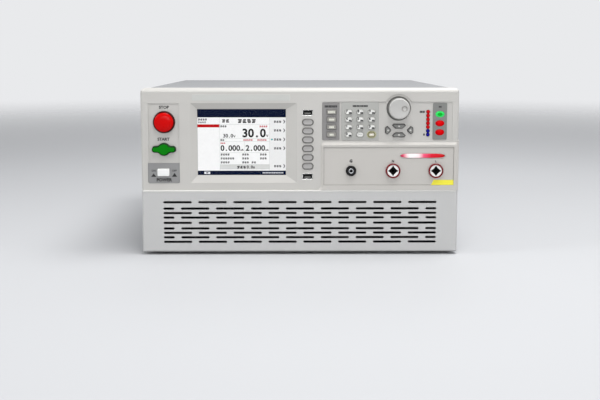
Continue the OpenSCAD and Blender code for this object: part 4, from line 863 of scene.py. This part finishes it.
# %% Round lamps
LAMP_R, LAMP_PITCH, LAMP_COUNT, BLUE_LAMPS = 2.5, 5.15, 7, 2
LAMP_SIDE = [(LAMP_R, 0.6), (2.3, 0.2), (1.8, 0.0)]  # radius, depth
LAMP_DOME = [(1.8, 0.0), (0.9, -0.15), (0, -0.2)]
WEB_W, WEB_R, WEB_NEAR, WEB_FAR = 2.4, 0.8, 0.5, 1.6
WEBS = [(0, 1, "#0c0c50"), (1.5, 6, "#8c0a10")]  # first and last lamp that a web joins, and its tint
low, high = limits("indicator_lamps")
round_x, round_z, pipe_end = low[0] + LAMP_R, low[2] + LAMP_R, high[1]
lamps = []
for i in range(LAMP_COUNT):
    at = (round_x, round_z + i * LAMP_PITCH)
    side_tint, dome_tint = ("#10105e", "#16168c") if i < BLUE_LAMPS else ("#a00c12", "#c81016")
    lamps.append((turned([(0, pipe_end), (LAMP_R, pipe_end)] + LAMP_SIDE, at, 32), side_tint))
    lamps.append((turned(LAMP_DOME, at, 32), dome_tint))
for first, last, tint in WEBS:
    ends = round_z + np.array([first, last]) * LAMP_PITCH
    web = loft(box_outline(WEB_W, np.ptp(ends), WEB_R),
               [[0, 0, WEB_FAR], [1, 0, WEB_FAR], [1, 0, WEB_NEAR], [0, 0, WEB_NEAR]], (round_x, ends.mean()))
    lamps.append((web, tint))
print("round lamps:", LAMP_COUNT)

# %% [markdown]
# An oval lamp is a pill behind the plate and an ellipse in front of it, so its rings pass from one outline to
# the other. That needs rings of equal count that start at the same side. A thin grey collar on the plate
# fills the corners that the ellipse leaves open.

# %% Oval lamps
OVAL_W, OVAL_H, OVAL_PITCH, OVAL_FOOT = 12.4, 8.5, 12.25, 5.7
OVAL_RIMS, OVAL_CORES = ("#c80008", "#cc0008", "#3ae86c"), ("#d80006", "#dc0006", "#08b02c")
OVAL_SIDE = [(0.98, 1.6), (0.98, 0.5), (0.9, 0.1), (0.55, -0.2)]  # share of the ellipse, depth
OVAL_DOME = [(0.55, -0.2), (0.3, -0.32), (0, -0.36)]
COLLAR_GROW, COLLAR_THICK, PILL_NEAR = 1.05, 0.05, 2.0
oval_x, oval_z = high[0] - OVAL_W / 2, low[2] + OVAL_FOOT
pill = box_outline(OVAL_W, OVAL_H, PILL)[0]
ellipse = circle_outline(len(pill))[0] * [OVAL_W / 2, OVAL_H / 2]
ellipse = np.roll(ellipse, -np.argmin(np.hypot(*(ellipse - pill[0]).T)), 0)
collars, collar_far = [], limits("lamp_plate")[0][1] - 0.01
collar_near = collar_far - COLLAR_THICK
for i in range(3):
    at = (oval_x, oval_z + i * OVAL_PITCH)
    side, core = ([(ellipse * share, depth) for share, depth in part] for part in (OVAL_SIDE, OVAL_DOME))
    pipe = [(pill * 0, pipe_end), (pill, pipe_end), (pill, PILL_NEAR)]
    lamps += [(stack(pipe + side, at), OVAL_RIMS[i]), (stack(core, at), OVAL_CORES[i])]
    outer = pill * COLLAR_GROW
    collars.append((stack([(ellipse, collar_far), (outer, collar_far), (outer, collar_near),
                           (ellipse, collar_near), (ellipse, collar_far)], at), "#868784"))
make("lamp_bank", lamps, lamp_acrylic, "root", ["indicator_lamps"])
make("lamp_collars", collars, print_film)
print("oval lamps:", len(collars))

# %% [markdown]
# The warning lens is a long red bar with pointed ends and a quarter round rim, on a seat of the panel's own
# plastic. The light behind it stands at its left third, where the white core of its colour is a painted
# highlight.

# %% Warning lens
SEAT_NEAR, SEAT_FAR, SEAT_FLANGE, LENS_ROUND = -1.75, 3.5, 1.5, 1.2
LENS_GAP_X, LENS_GAP_Z = 0.3, 0.35  # mm between the lens and the rim of its seat
low, high = limits("warning_lens")
lens_w, lens_h = (high - low)[[0, 2]] - 2 * SEAT_FLANGE
seat = [[0, SEAT_FLANGE, high[1]], [1, SEAT_FLANGE, high[1]], [1, SEAT_FLANGE, SEAT_FAR], [1, 0, SEAT_FAR],
        [1, 0, SEAT_NEAR + 0.1], [1, -0.1, SEAT_NEAR], [0, -0.1, SEAT_NEAR]]
at = middle("warning_lens")
make("warning_lens_seat", [(loft(box_outline(lens_w, lens_h, PILL), seat, at), WHITE)], terminal_abs,
     "root", ["warning_lens"])


def lens_outline(shrink):
    """A long outline with pointed ends: (x / a)^6 + (z / b)^2 = 1, so x = a cos^(1/3) t and z = b sin t."""
    t = np.linspace(0, 2 * np.pi, 120, endpoint=False)
    x = np.sign(np.cos(t)) * np.abs(np.cos(t)) ** (1 / 3)
    half_w, half_h = lens_w / 2 - LENS_GAP_X - shrink, lens_h / 2 - LENS_GAP_Z - shrink
    return np.column_stack([half_w * x, half_h * np.sin(t)])


turn = np.linspace(0, np.pi / 2, 7)
lens_rim = [(lens_outline(LENS_ROUND * (1 - c)), low[1] + LENS_ROUND * (1 - s))
            for c, s in zip(np.cos(turn), np.sin(turn))]
lens_foot = [(lens_outline(0) * 0, SEAT_NEAR + 0.4), (lens_outline(0), SEAT_NEAR + 0.4)]
lens_top = (lens_outline(LENS_ROUND) * 0, low[1])
make("warning_lens_bar", [(stack(lens_foot + lens_rim[:3], at), "#b06878"),
                          (stack(lens_rim[2:] + [lens_top], at), WHITE)], lens_acrylic)
print("warning lens", round(lens_w, 1), "by", round(lens_h, 1), "mm")

# %% [markdown]
# ## The lit screen
#
# Behind the window lies the display. Its picture is drawn as thin sheets, one on the other: a white field,
# dark bars at its head and foot, ruled lines, readings and rows of small marks. Only numbers and units
# are written. Places on it are millimetres from its upper left corner, u to the right and v down.

# %% Drawing on the screen
WINDOW_MARGIN = 1.8  # the window reaches this far past the picture
SHEET, LAYER = 0.02, 0.03  # thickness of a sheet, and the step from one sheet to the next
LETTER_PITCH, LETTER_BOLD = 0.74, 0.045  # shares of a letter's height
LETTER_BACK, SHAPE_BACK = 0.15, 0.12  # how far letters and shapes stand before the window's CAD back
MARK_GROWTH = 1.45
BLOCK_LEVELS, BLOCK_SPANS, BLOCK_BAR = (-0.47, -0.12, 0.23), ((0, 0.98), (0.14, 0.9), (0, 0.8)), 0.3
low, high = limits("screen_window")
screen_left, screen_top = low[0] + WINDOW_MARGIN, high[2] - WINDOW_MARGIN
screen_w, screen_h = (high - low)[[0, 2]] - 2 * WINDOW_MARGIN
picture = []


def draw(u, v, tint, layer=1):
    """A filled rectangle on the screen, from u[0] to u[1] across and v[0] to v[1] down."""
    near = high[1] - LAYER * (1 + layer)
    picture.append((bar((screen_left + u[0], screen_left + u[1]), (screen_top - v[1], screen_top - v[0]),
                        near, near + SHEET), tint))


def write(text, u, v, height, tint):
    """Characters of one pitch on the screen, with their foot at v, as an instrument shows its readings."""
    for i, letter in enumerate(text):
        x = screen_left + u + (i + 0.5) * LETTER_PITCH * height
        near = high[1] - LETTER_BACK
        picture.append((word(letter, x, screen_top - v, height, near, LETTER_BOLD, SHEET), tint))


def scribble(u, v, count, size, tint):
    """A row of small hatched blocks, each of three bars of unequal length."""
    size *= MARK_GROWTH
    for i in range(count):
        left = u + i * size * 1.2
        for j, level in enumerate(BLOCK_LEVELS):
            start, end = BLOCK_SPANS[(i + j) % 3]
            draw((left + size * start, left + size * end),
                 (v + level * size, v + (level + BLOCK_BAR) * size), tint, 3)


print("screen", round(screen_w, 1), "by", round(screen_h, 1), "mm")

# %% Fields, rules and readings
NAVY, FIELD, RULE, TEXT, ALERT = "#08132e", "#fbfbfb", "#c4c8c6", "#121214", "#c01a30"
HEAD_V, FOOT_V, LEFT_U, RIGHT_U, RULE_W = 11.3, 84.0, 29.9, 97.4, 0.35
draw((0, screen_w), (0, screen_h), FIELD, 0)
draw((0, screen_w), (0, HEAD_V), NAVY)
draw((0, screen_w), (FOOT_V, screen_h), NAVY)
draw((RIGHT_U + 0.2, screen_w), (HEAD_V, FOOT_V), "#f0f0f0")
draw((LEFT_U + 0.1, RIGHT_U), (75.6, 82.4), "#d9dad8")
draw((0, LEFT_U), (20.8, 24.9), "#bf1418")
for level in (20.8, 39.9, 44.0, 59.2, 75.4):
    draw((LEFT_U + 0.1, RIGHT_U), (level, level + RULE_W), RULE, 2)
for column, top, foot in ((LEFT_U, HEAD_V, FOOT_V), (RIGHT_U, HEAD_V, FOOT_V), (63.4, 44.0, 59.2)):
    draw((column, column + RULE_W), (top, foot), RULE, 2)
READINGS = [("30.0", 60.4, 38.0, 10.9), ("0.000", 31.0, 56.6, 7.2), ("2.000", 65.0, 56.6, 7.2),
            ("30.0", 34.6, 38.6, 4.6), ("V", 48.8, 38.6, 3.2), ("V", 93.3, 38.0, 3.2),
            ("mA", 58.3, 56.8, 2.5), ("mA", 92.3, 56.8, 2.5), ("0.0s", 66.4, 80.9, 3.8)]
for text, u, v, height in READINGS:
    write(text, u, v, height, TEXT)
print("readings:", len(READINGS))

# %% [markdown]
# Besides its readings the display carries rows of small hatched blocks. From afar they give it the texture
# of a busy screen, and near by they say nothing. A column of chevrons at the right points to the soft keys.

# %% Small marks
BLOCK_ROWS = [  # u, v, count, size, tint
    (55.0, 16.2, 4, 3.6, TEXT), (33.5, 16.0, 2, 3.0, TEXT), (1.0, 14.2, 4, 1.8, TEXT),
    (1.0, 18.0, 4, 1.6, "#555558"), (31.0, 23.4, 3, 1.7, TEXT), (84.0, 23.6, 4, 1.6, ALERT),
    (62.0, 42.1, 5, 1.5, ALERT), (81.0, 42.1, 5, 1.5, ALERT), (31.0, 42.1, 2, 1.6, TEXT),
    (31.0, 46.4, 3, 1.3, ALERT), (31.2, 61.8, 4, 1.8, TEXT), (31.2, 67.2, 6, 1.8, TEXT),
    (31.2, 72.6, 4, 1.8, TEXT), (60.4, 61.8, 3, 1.8, TEXT), (60.4, 67.2, 3, 1.8, TEXT),
    (60.4, 72.6, 3, 1.8, TEXT), (84.6, 61.8, 3, 1.8, TEXT), (84.6, 67.2, 3, 1.8, TEXT),
    (73.2, 72.6, 2, 1.8, TEXT), (53.5, 79.2, 3, 2.4, TEXT), (88.0, 86.9, 8, 1.2, "#e8ecf4"),
    (104.0, 86.9, 6, 1.2, "#e8ecf4")]
for row in BLOCK_ROWS:
    scribble(*row)
draw((8.7, 16.7), (85.4, 88.4), "#f2f4f8", 2)
draw((11.2, 14.2), (86.2, 87.6), NAVY, 3)
SOFT_KEY_ROWS, SOFT_MARK_U, CHEVRON_U = (17.2, 29.0, 41.4, 53.4, 77.8), 103.6, 116.2
CHEVRON = [[0.8, 2.7], [2.7, 0], [0.8, -2.7], [0, -2.2], [1.3, 0], [0, 2.2]]
shape_near = high[1] - SHAPE_BACK
for v in SOFT_KEY_ROWS:
    scribble(SOFT_MARK_U, v, 3, 2.0, "#3a3a3e")
    chevron = np.array(CHEVRON) + [screen_left + CHEVRON_U, screen_top - v]
    picture.append((plate(chevron, shape_near, shape_near + SHEET), "#3c3c42"))
MARK_DOT_R, MARK_DOT_AT = 1.2, (100.8, -41.4)
dot = circle_outline(16)[0] * MARK_DOT_R + MARK_DOT_AT + [screen_left, screen_top]
picture.append((plate(dot, shape_near, shape_near + SHEET), "#1ba0a0"))
make("screen_picture", picture, display_light)
print("screen picture:", len(picture), "sheets")

# %% [markdown]
# The window itself is a clear acrylic sheet. Its back stands a fraction of a millimetre in front of the
# picture, as a real window stands off its display.

# %% Window
WINDOW_GAP, WINDOW_R, WINDOW_BEVEL = 0.25, 0.6, 0.1
window_back = high[1] - WINDOW_GAP
window_steps = [[0, 0, window_back], [1, -WINDOW_BEVEL, window_back], [1, 0, window_back - WINDOW_BEVEL],
                [1, 0, low[1] + WINDOW_BEVEL], [1, -WINDOW_BEVEL, low[1]], [0, 0, low[1]]]
window_ring = box_outline(high[0] - low[0], high[2] - low[2], WINDOW_R)
make("screen_glass", [(loft(window_ring, window_steps, middle("screen_window")), WHITE)], window_pmma,
     "root", ["screen_window"])
print("window", round(window_back - low[1], 2), "mm thick")

# %% [markdown]
# ## Sockets for the test leads
#
# The output sockets have a red collar, a white insulating face and a mouth shaped as a star with four
# hollow sides, behind which lies the spring contact; the mouth is lined black as painted shade of the bore.
# The ground socket is black with a grey metal ring. Faces and mouths are lofts that pass from a circle to
# the star.

# %% Star outline
STAR_R, STAR_HOLLOW = 7.2, 18.0


def star_outline():
    """A square on its corner with sides hollowed by arcs, in polar form: the distance from the middle to
    the arc of radius h whose centre lies at reach: r = reach c - sqrt(h^2 - reach^2 (1 - c^2))."""
    side = STAR_R / math.sqrt(2)
    reach = side + math.sqrt(STAR_HOLLOW**2 - side**2)
    angle = np.linspace(0, 2 * np.pi, ROUND_STEPS, endpoint=False)
    from_axis = (angle % (np.pi / 2)) - np.pi / 4
    c = np.cos(from_axis)
    r = reach * c - np.sqrt(STAR_HOLLOW**2 - (reach**2) * (1 - c**2))
    ring = np.column_stack([np.cos(angle), np.sin(angle)])
    return ring * r[:, None], ring


def morph(steps, at):
    """Rings between the circle and the star: r circle + share star + grow circle, each at its depth."""
    circle, star = circle_outline(ROUND_STEPS)[0], star_outline()[0]
    return stack([(r * circle + share * star + grow * circle, depth) for r, share, grow, depth in steps], at)


print("star points:", len(star_outline()[0]))

# %% Socket faces
FACE_R, FACE_THICK, STAR_GAP = 7.9, 0.3, 0.1
BORE_SHADE_R, BORE_SHADE_WALL = 1.98, 0.18  # a black sheet of painted shade just inside the 4 mm bore
FACE_IN, FLOOR_IN, END_IN = 1.0, 3.0, 18.9  # depths behind the collar's front
for lead in ("neutral", "live"):
    at = middle(f"{lead}_socket")
    near = limits(f"{lead}_socket")[0][1]
    face_d, floor_d, end_d = near + FACE_IN, near + FLOOR_IN, near + END_IN
    front = face_d - FACE_THICK
    face = [[FACE_R, 0, 0, face_d], [FACE_R, 0, 0, front], [0, 1, STAR_GAP, front], [0, 1, STAR_GAP, face_d],
            [FACE_R, 0, 0, face_d]]
    make(f"{lead}_face", [(morph(face, at), "#f2f2f0")], key_abs)
    outside = [[0, 0, 0, end_d], [BORE_SHADE_R, 0, 0, end_d], [BORE_SHADE_R, 0, 0, floor_d - 0.02],
               [0, 1, -0.02, floor_d - 0.02], [0, 1, -0.02, face_d - 0.2]]
    inside = [[0, 1, -0.3, face_d - 0.2], [0, 1, -0.3, floor_d - 0.1],
              [BORE_SHADE_R - BORE_SHADE_WALL, 0, 0, floor_d - 0.1], [BORE_SHADE_R - BORE_SHADE_WALL, 0, 0, end_d - 0.1],
              [0, 0, 0, end_d - 0.1]]
    make(f"{lead}_mouth", [(morph(outside + inside, at), WHITE)], bore_shade)
CONTACT_RING = [(2.2, 0.3), (2.2, -0.15), (2.5, -0.3), (3.1, -0.3), (3.4, -0.1), (3.4, 0.3)]
contact = np.array(CONTACT_RING) + [0, limits("ground_socket")[0][1]]
ring = turned(contact, middle("ground_socket"), 48, looped=True)
make("ground_contact_ring", [(ring, WHITE)], bright_steel)
print("a lead's mouth is", END_IN - FACE_IN, "mm deep")

# %% [markdown]
# ## The two data ports
#
# Each port is a plated shell whose lips flare at the four corners, round a black body with a grey tongue in
# its lower half. The flared mouth is cut from rays: for each angle, the distance to the nearest edge p q of
# the outline is cross(p, q) / cross(ray, q - p). One set of rays serves all outlines, with a ray through
# every corner, so that shell, body and flange can be joined ring to ring.

# %% Port outlines
PORT_MOUTH = [[6.3, 1.6], [7.0, 3.4], [-7.0, 3.4], [-6.3, 1.6], [-6.3, -1.6], [-7.0, -3.4], [7.0, -3.4],
              [6.3, -1.6]]
SHELL_SIZE, BODY_SIZE, FLANGE_SIZE = (14.5, 7.9), (14.3, 7.7), (17.9, 10.7)
EVEN_RAYS, NEARLY = 48, 1e-6


def rectangle(width, height):
    """The corners of a rectangle about the origin."""
    x, z = width / 2, height / 2
    return [[x, z], [-x, z], [-x, -z], [x, -z]]


def cast(corners, angle):
    """The points where rays from the origin meet an outline that every ray meets once."""
    p = np.asarray(corners, float)
    q = np.roll(p, -1, 0)
    ray = np.column_stack([np.cos(angle), np.sin(angle)])[:, None, :]
    along = q - p
    bottom = ray[..., 0] * along[:, 1] - ray[..., 1] * along[:, 0]
    r = (p[:, 0] * q[:, 1] - p[:, 1] * q[:, 0]) / np.where(np.abs(bottom) < 1e-9, 1e-9, bottom)
    part = ((r[..., None] * ray - p) * along).sum(-1) / (along**2).sum(-1)
    r = np.where((r > 0) & (part > -NEARLY) & (part < 1 + NEARLY), r, np.inf).min(1)
    return ray[:, 0] * r[:, None]


boxes = [np.array(rectangle(*size)) for size in (SHELL_SIZE, BODY_SIZE, FLANGE_SIZE)]
shapes = [np.array(PORT_MOUTH)] + boxes
corner_rays = [np.arctan2(shape[:, 1], shape[:, 0]) for shape in shapes]
even_rays = np.linspace(-np.pi, np.pi, EVEN_RAYS, endpoint=False)
angle = np.unique(np.round(np.concatenate(corner_rays + [even_rays]), 6))
mouth, shell, body, flange = (cast(shape, angle) for shape in shapes)
print("rays round a port:", len(angle))

# %% Ports
low, high = limits("usb_sockets")
port_x, half_h = (low[0] + high[0]) / 2, FLANGE_SIZE[1] / 2
PORT_FAR, PORT_END, FLANGE_NEAR, FLANGE_FAR = 14.5, 13.8, 3.5, 4.7
TONGUE_X, TONGUE_Z, TONGUE_D = 4.1, (-2.3, 0.1), (0.9, 13.7)
shells, bodies = [], []
for z in (low[2] + half_h, high[2] - half_h):
    at = (port_x, z)
    shells.append((stack([(mouth * 0.96, 1.2), (mouth, 0.2), (mouth * 1.01, -0.3), (shell * 0.985, -0.4),
                          (shell, -0.2), (shell, 3.4), (shell * 0.95, 3.4), (mouth * 0.96, 1.2)], at), WHITE))
    behind = [(body * 0, PORT_FAR), (body, PORT_FAR), (body, FLANGE_FAR), (flange, FLANGE_FAR),
              (flange, FLANGE_NEAR), (body * 0.96, FLANGE_NEAR), (body * 0.96, 1.4)]
    hollow = [(mouth * 0.95, 0.9), (mouth * 0.95, PORT_END), (mouth * 0, PORT_END)]
    bodies.append((stack(behind + hollow, at), "#0c0c0d"))
    bodies.append((bar((port_x - TONGUE_X, port_x + TONGUE_X), (z + TONGUE_Z[0], z + TONGUE_Z[1]), *TONGUE_D),
                   "#666663"))
make("port_shells", shells, tin)
make("port_bodies", bodies, port_pbt, "root", ["usb_sockets"])
print("ports:", len(shells))

# %% [markdown]
# ## Printed marks
#
# Ink lies a few hundredths of a millimetre proud of the plastic. The words are those that any switch or
# socket carries, and rows of plain bars give the rest of the panel the texture of print.

# %% Lettering on the panel
INK, DARK_INK, SOFT_INK = "#1e1e20", "#0a0a0b", "#48484a"
INK_PROUD, RECESS_D, RAISED_NEAR = 0.04, 1.0, -1.74
STOP_FOOT, START_FOOT, POWER_FOOT, LEAD_FOOT = 196.2, 153.1, 97.7, 123.6
stop_x, start_x = middle("stop_button")[0], middle("start_button")[0]
power_x, power_z = middle("power_button")
plate_near, recess_near = limits("power_plate")[0][1] - INK_PROUD, RECESS_D - INK_PROUD
marks = [(word("STOP", stop_x, STOP_FOOT, 3.8, recess_near, 0.06), DARK_INK),
         (word("START", start_x - 0.6, START_FOOT, 3.8, recess_near, 0.06), DARK_INK),
         (word("ON", power_x - 13.6, power_z + 0.7, 2.5, plate_near, 0.07), SOFT_INK),
         (word("OFF", power_x + 14.4, power_z + 0.7, 2.5, plate_near, 0.07), SOFT_INK),
         (word("POWER", power_x + 0.4, POWER_FOOT, 4.1, plate_near, 0.06), DARK_INK)]
for x, rise in ((power_x - 13.8, 4.7), (power_x + 14.5, 5.4)):
    foot = power_z - 6.4
    wedge = [[x - 3.5, foot], [x + 3.5, foot], [x, foot + rise]]
    marks.append((plate(wedge, plate_near, plate_near + INK_THICK), DARK_INK))
for node, letter, height, bold in (("ground_socket", "G", 3.6, 0.1), ("neutral_socket", "N", 3.0, 0.06),
                                   ("live_socket", "L", 2.6, 0.04)):
    marks.append((word(letter, middle(node)[0], LEAD_FOOT, height, RAISED_NEAR, bold), INK))
print("words and wedges:", len(marks))


# %% Rows of bars
HEADINGS = [("function_plate", 17.0, 2.9), ("number_plate", 20.4, 2.5), ("lamp_plate", 3.6, 2.4)]
HEADING_DROP = 5.2  # from a plate's top to the middle of its heading
BAR_SHARE, BAR_SWING = 0.84, 0.1  # how much of each step a bar fills, and how far that varies


def caption(left, foot, width, height, near, step=1.9):
    """A row of dark printed bars; bar n fills share + swing sin(2.4 n) of its step."""
    edges = np.arange(left, left + width - step / 2, step)
    spread = BAR_SHARE + BAR_SWING * np.sin(2.4 * np.arange(len(edges)))
    for edge, part in zip(edges, spread):
        marks.append((bar((edge, edge + step * part), (foot, foot + height), near, near + INK_THICK), INK))


for node, width, height in HEADINGS:
    top, near = limits(node)[1][2], limits(node)[0][1] - INK_PROUD
    caption(middle(node)[0] - width / 2, top - HEADING_DROP - height / 2, width, height, near)
lamps_x, _, lamps_foot = limits("indicator_lamps")[0]
top_lamp = lamps_foot + (LAMP_COUNT - 1) * LAMP_PITCH
caption(lamps_x - 8.8, top_lamp + 1.0, 7.4, 3.0, recess_near, 1.4)
caption(lamps_x - 3.8, lamps_foot + 1.2, 2.5, 2.8, recess_near, 1.2)
ENTER_SIZE, HALOS = (9.5, 6.4), ((0.4, 1.09, "#b8b68a"), (1.11, 2.0, "#b3b39b"))
near = limits("number_plate")[0][1] - INK_PROUD
for inner, outer, tint in HALOS:
    halo = [[1, inner, near], [1, outer, near], [1, outer, near + INK_THICK], [1, inner, near + INK_THICK]]
    marks.append((loft(box_outline(*ENTER_SIZE, PILL), halo, middle("enter_key"), looped=True), tint))
make("panel_lettering", marks, ink)
print("marks on the panel:", len(marks))

# %% [markdown]
# A plain strip lies above the screen, and a small plain yellow label at the lower right of the sockets. A
# thin grey line round the floor of the terminal panel is painted shade at the edge of its recess. A pale
# bead along the seam between the upper and the lower moulding is a painted highlight of the seam's bevel.

# %% Strip, label, painted recess shade and highlight bead
STRIP_SIZE, STRIP_AT, STRIP_NEAR, STRIP_R = (131.8, 8.5), (-79.4, 210.95), -0.16, 0.8
strip = loft(box_outline(*STRIP_SIZE, STRIP_R),
             [[0, 0, 0.02], [1, 0, 0.02], [1, 0, STRIP_NEAR / 2], [1, -0.08, STRIP_NEAR],
              [1, -0.2, STRIP_NEAR], [0, -0.2, STRIP_NEAR]], STRIP_AT)
make("nameplate_strip", [(strip, "#c3c4c0")], print_film)
LABEL = [[177.6, 92.5], [208.2, 92.5], [208.2, 99.6], [181.3, 99.6]]
LABEL_NEAR, LABEL_THICK = -1.78, 0.08
make("terminal_label", [(plate(LABEL, LABEL_NEAR, LABEL_NEAR + LABEL_THICK), "#f4ea3a")], print_film)
# Thin grey line round the edge of the terminal panel's recess: painted shade
SHADE_LINE_X, SHADE_LINE_Z, SHADE_LINE_R, SHADE_LINE_NEAR = (32.0, 208.4), (92.3, 144.3), 0.8, -1.73
SHADE_LINE_IN, SHADE_LINE_OUT = -0.75, -0.05
recess_shade_line = loft(box_outline(*np.ptp((SHADE_LINE_X, SHADE_LINE_Z), axis=1), SHADE_LINE_R),
             [[1, SHADE_LINE_IN, SHADE_LINE_NEAR], [1, SHADE_LINE_OUT, SHADE_LINE_NEAR], [1, SHADE_LINE_OUT, SHADE_LINE_NEAR + INK_THICK],
              [1, SHADE_LINE_IN, SHADE_LINE_NEAR + INK_THICK]], np.mean((SHADE_LINE_X, SHADE_LINE_Z), axis=1), looped=True)
make("terminal_recess_shade_line", [(recess_shade_line, "#9b9893")], print_film)
# A pale bead along the seam: painted highlight of the seam's bevel
BEAD_X, BEAD_Z, BEAD_R, BEAD_NEAR, BEAD_FAR = (-212.6, 212.6), (83.6, 85.45), 0.7, -2.35, -0.2
highlight_bead = loft(box_outline(*np.ptp((BEAD_X, BEAD_Z), axis=1), BEAD_R),
            [[0, 0, BEAD_FAR], [1, 0, BEAD_FAR], [1, 0, BEAD_NEAR + 0.35], [1, -0.1, BEAD_NEAR + 0.1],
             [1, -0.3, BEAD_NEAR], [0, -0.3, BEAD_NEAR]], np.mean((BEAD_X, BEAD_Z), axis=1))
make("seam_highlight_bead", [(highlight_bead, "#e2e1dd")], print_film)

# %% [markdown]
# ## Floor, light and camera
#
# The floor is a pale disc that fades into the pale world around it, so no edge shows from any side, and it
# keeps the object's shadow. Light Path gives the camera, gloss and glass a pale world, while the object is
# lit by less.

# %% Floor
FLOOR_R, FADE_NEAR, FADE_FAR = 9.0, 0.9, 4.5  # metres
FLOOR_TINT, FLOOR_ROUGH, FLOOR_SHINE = "#bdbec0", 0.62, 0.15
scene = bpy.context.scene
ring = circle_outline(ROUND_STEPS)[0] * FLOOR_R
floor_mesh = bpy.data.meshes.new("floor")
floor_mesh.from_pydata(np.insert(ring, 2, 0, axis=1).tolist(), [], [list(range(ROUND_STEPS))])
floor = bpy.data.objects.new("floor", floor_mesh)
scene.collection.objects.link(floor)
paper = bpy.data.materials.new("studio_floor")
paper.use_nodes = True
tree = paper.node_tree
tree.nodes.clear()
place = add(tree, "TexCoord").outputs["Object"]
away = add(tree, "VectorMath", {0: place}, operation="LENGTH").outputs["Value"]
fade = add(tree, "MapRange", {"Value": away, "From Min": FADE_NEAR, "From Max": FADE_FAR},
           interpolation_type="SMOOTHSTEP").outputs[0]
sheen = add(tree, "BsdfPrincipled", {"Base Color": linear(FLOOR_TINT), "Roughness": FLOOR_ROUGH,
                                     "Specular IOR Level": FLOOR_SHINE})
clear = add(tree, "BsdfTransparent")
blend = add(tree, "MixShader", {0: fade, 1: sheen.outputs[0], 2: clear.outputs[0]})
add(tree, "OutputMaterial", {"Surface": blend.outputs[0]})
floor_mesh.materials.append(paper)
print("floor radius", FLOOR_R, "m")

# %% World
BACKDROP, SKY, SKY_STRENGTH = "#e9eaec", "#f4f6fa", 0.37
world = bpy.data.worlds.new("studio")
scene.world = world
world.use_nodes = True
tree = world.node_tree
tree.nodes.clear()
rays = add(tree, "LightPath").outputs
seen = rays["Is Camera Ray"]
for kind in ("Is Glossy Ray", "Is Transmission Ray"):
    seen = add(tree, "Math", {0: seen, 1: rays[kind]}, operation="MAXIMUM").outputs[0]
lighting = add(tree, "Background", {"Color": linear(SKY), "Strength": SKY_STRENGTH})
backdrop = add(tree, "Background", {"Color": linear(BACKDROP), "Strength": 1.0})
choice = add(tree, "MixShader", {0: seen, 1: lighting.outputs[0], 2: backdrop.outputs[0]})
add(tree, "OutputWorld", {"Surface": choice.outputs[0]})
print("world lights the object at", SKY_STRENGTH)

# %% [markdown]
# A large softbox stands high in front, a fill with a grid lights the front plane and little of the floor,
# two weak strips at the sides keep the ends from going dark, and a rim light grazes the cover from behind.


# %% Lights
def softbox(name, place, target, size, watts, spread=180):
    """A rectangular area light of size metres, turned to face its target. A grid in front of it narrows
    its spread, in degrees."""
    lamp = bpy.data.lights.new(name, "AREA")
    lamp.shape, lamp.size, lamp.size_y = "RECTANGLE", size[0], size[1]
    lamp.energy, lamp.spread = watts, math.radians(spread)
    holder = bpy.data.objects.new(name, lamp)
    holder.location = place
    holder.rotation_euler = (Vector(target) - Vector(place)).to_track_quat("-Z", "Y").to_euler()
    scene.collection.objects.link(holder)


PANEL, COVER = (0, ORIGIN[1], 0.12), (0, 0.1, 0.2)
softbox("key_softbox", (0.40, -0.50, 1.80), PANEL, (1.8, 0.7), 38)
softbox("front_fill", (0.1, -2.2, 0.62), PANEL, (1.6, 0.7), 1.7, 60)
softbox("left_strip", (-1.45, -0.60, 0.95), PANEL, (0.4, 0.6), 7.5)
softbox("right_strip", (1.55, -0.60, 0.95), PANEL, (0.4, 0.6), 3.5)
softbox("rim_light", (0.2, 1.6, 1.7), COVER, (1.2, 0.8), 6)
print("lights:", len(bpy.data.lights))

# %% [markdown]
# ## The camera
#
# The photograph was taken from a little above, straight on, from a little over a metre. The place was worked
# out from how much the cover narrows towards the back. The lens follows from the panel's width in the frame.

# %% Camera
EYE = Vector((-0.0086, -1.371, 0.268))
TILT, PAN = math.radians(5.94), math.radians(0.43)
FRAME_W, FOCAL_PX = 600, 851.0
camera_data = bpy.data.cameras.new("camera")
camera = bpy.data.objects.new("camera", camera_data)
scene.collection.objects.link(camera)
camera.location = EYE
look = Vector((math.sin(PAN) * math.cos(TILT), math.cos(PAN) * math.cos(TILT), -math.sin(TILT)))
camera.rotation_euler = look.to_track_quat("-Z", "Y").to_euler()
camera_data.sensor_width = 36.0
camera_data.lens = FOCAL_PX / FRAME_W * camera_data.sensor_width
camera_data.shift_y = -0.09
scene.camera = camera
scene.view_settings.view_transform = "Standard"
print("lens", round(camera_data.lens, 1), "mm")
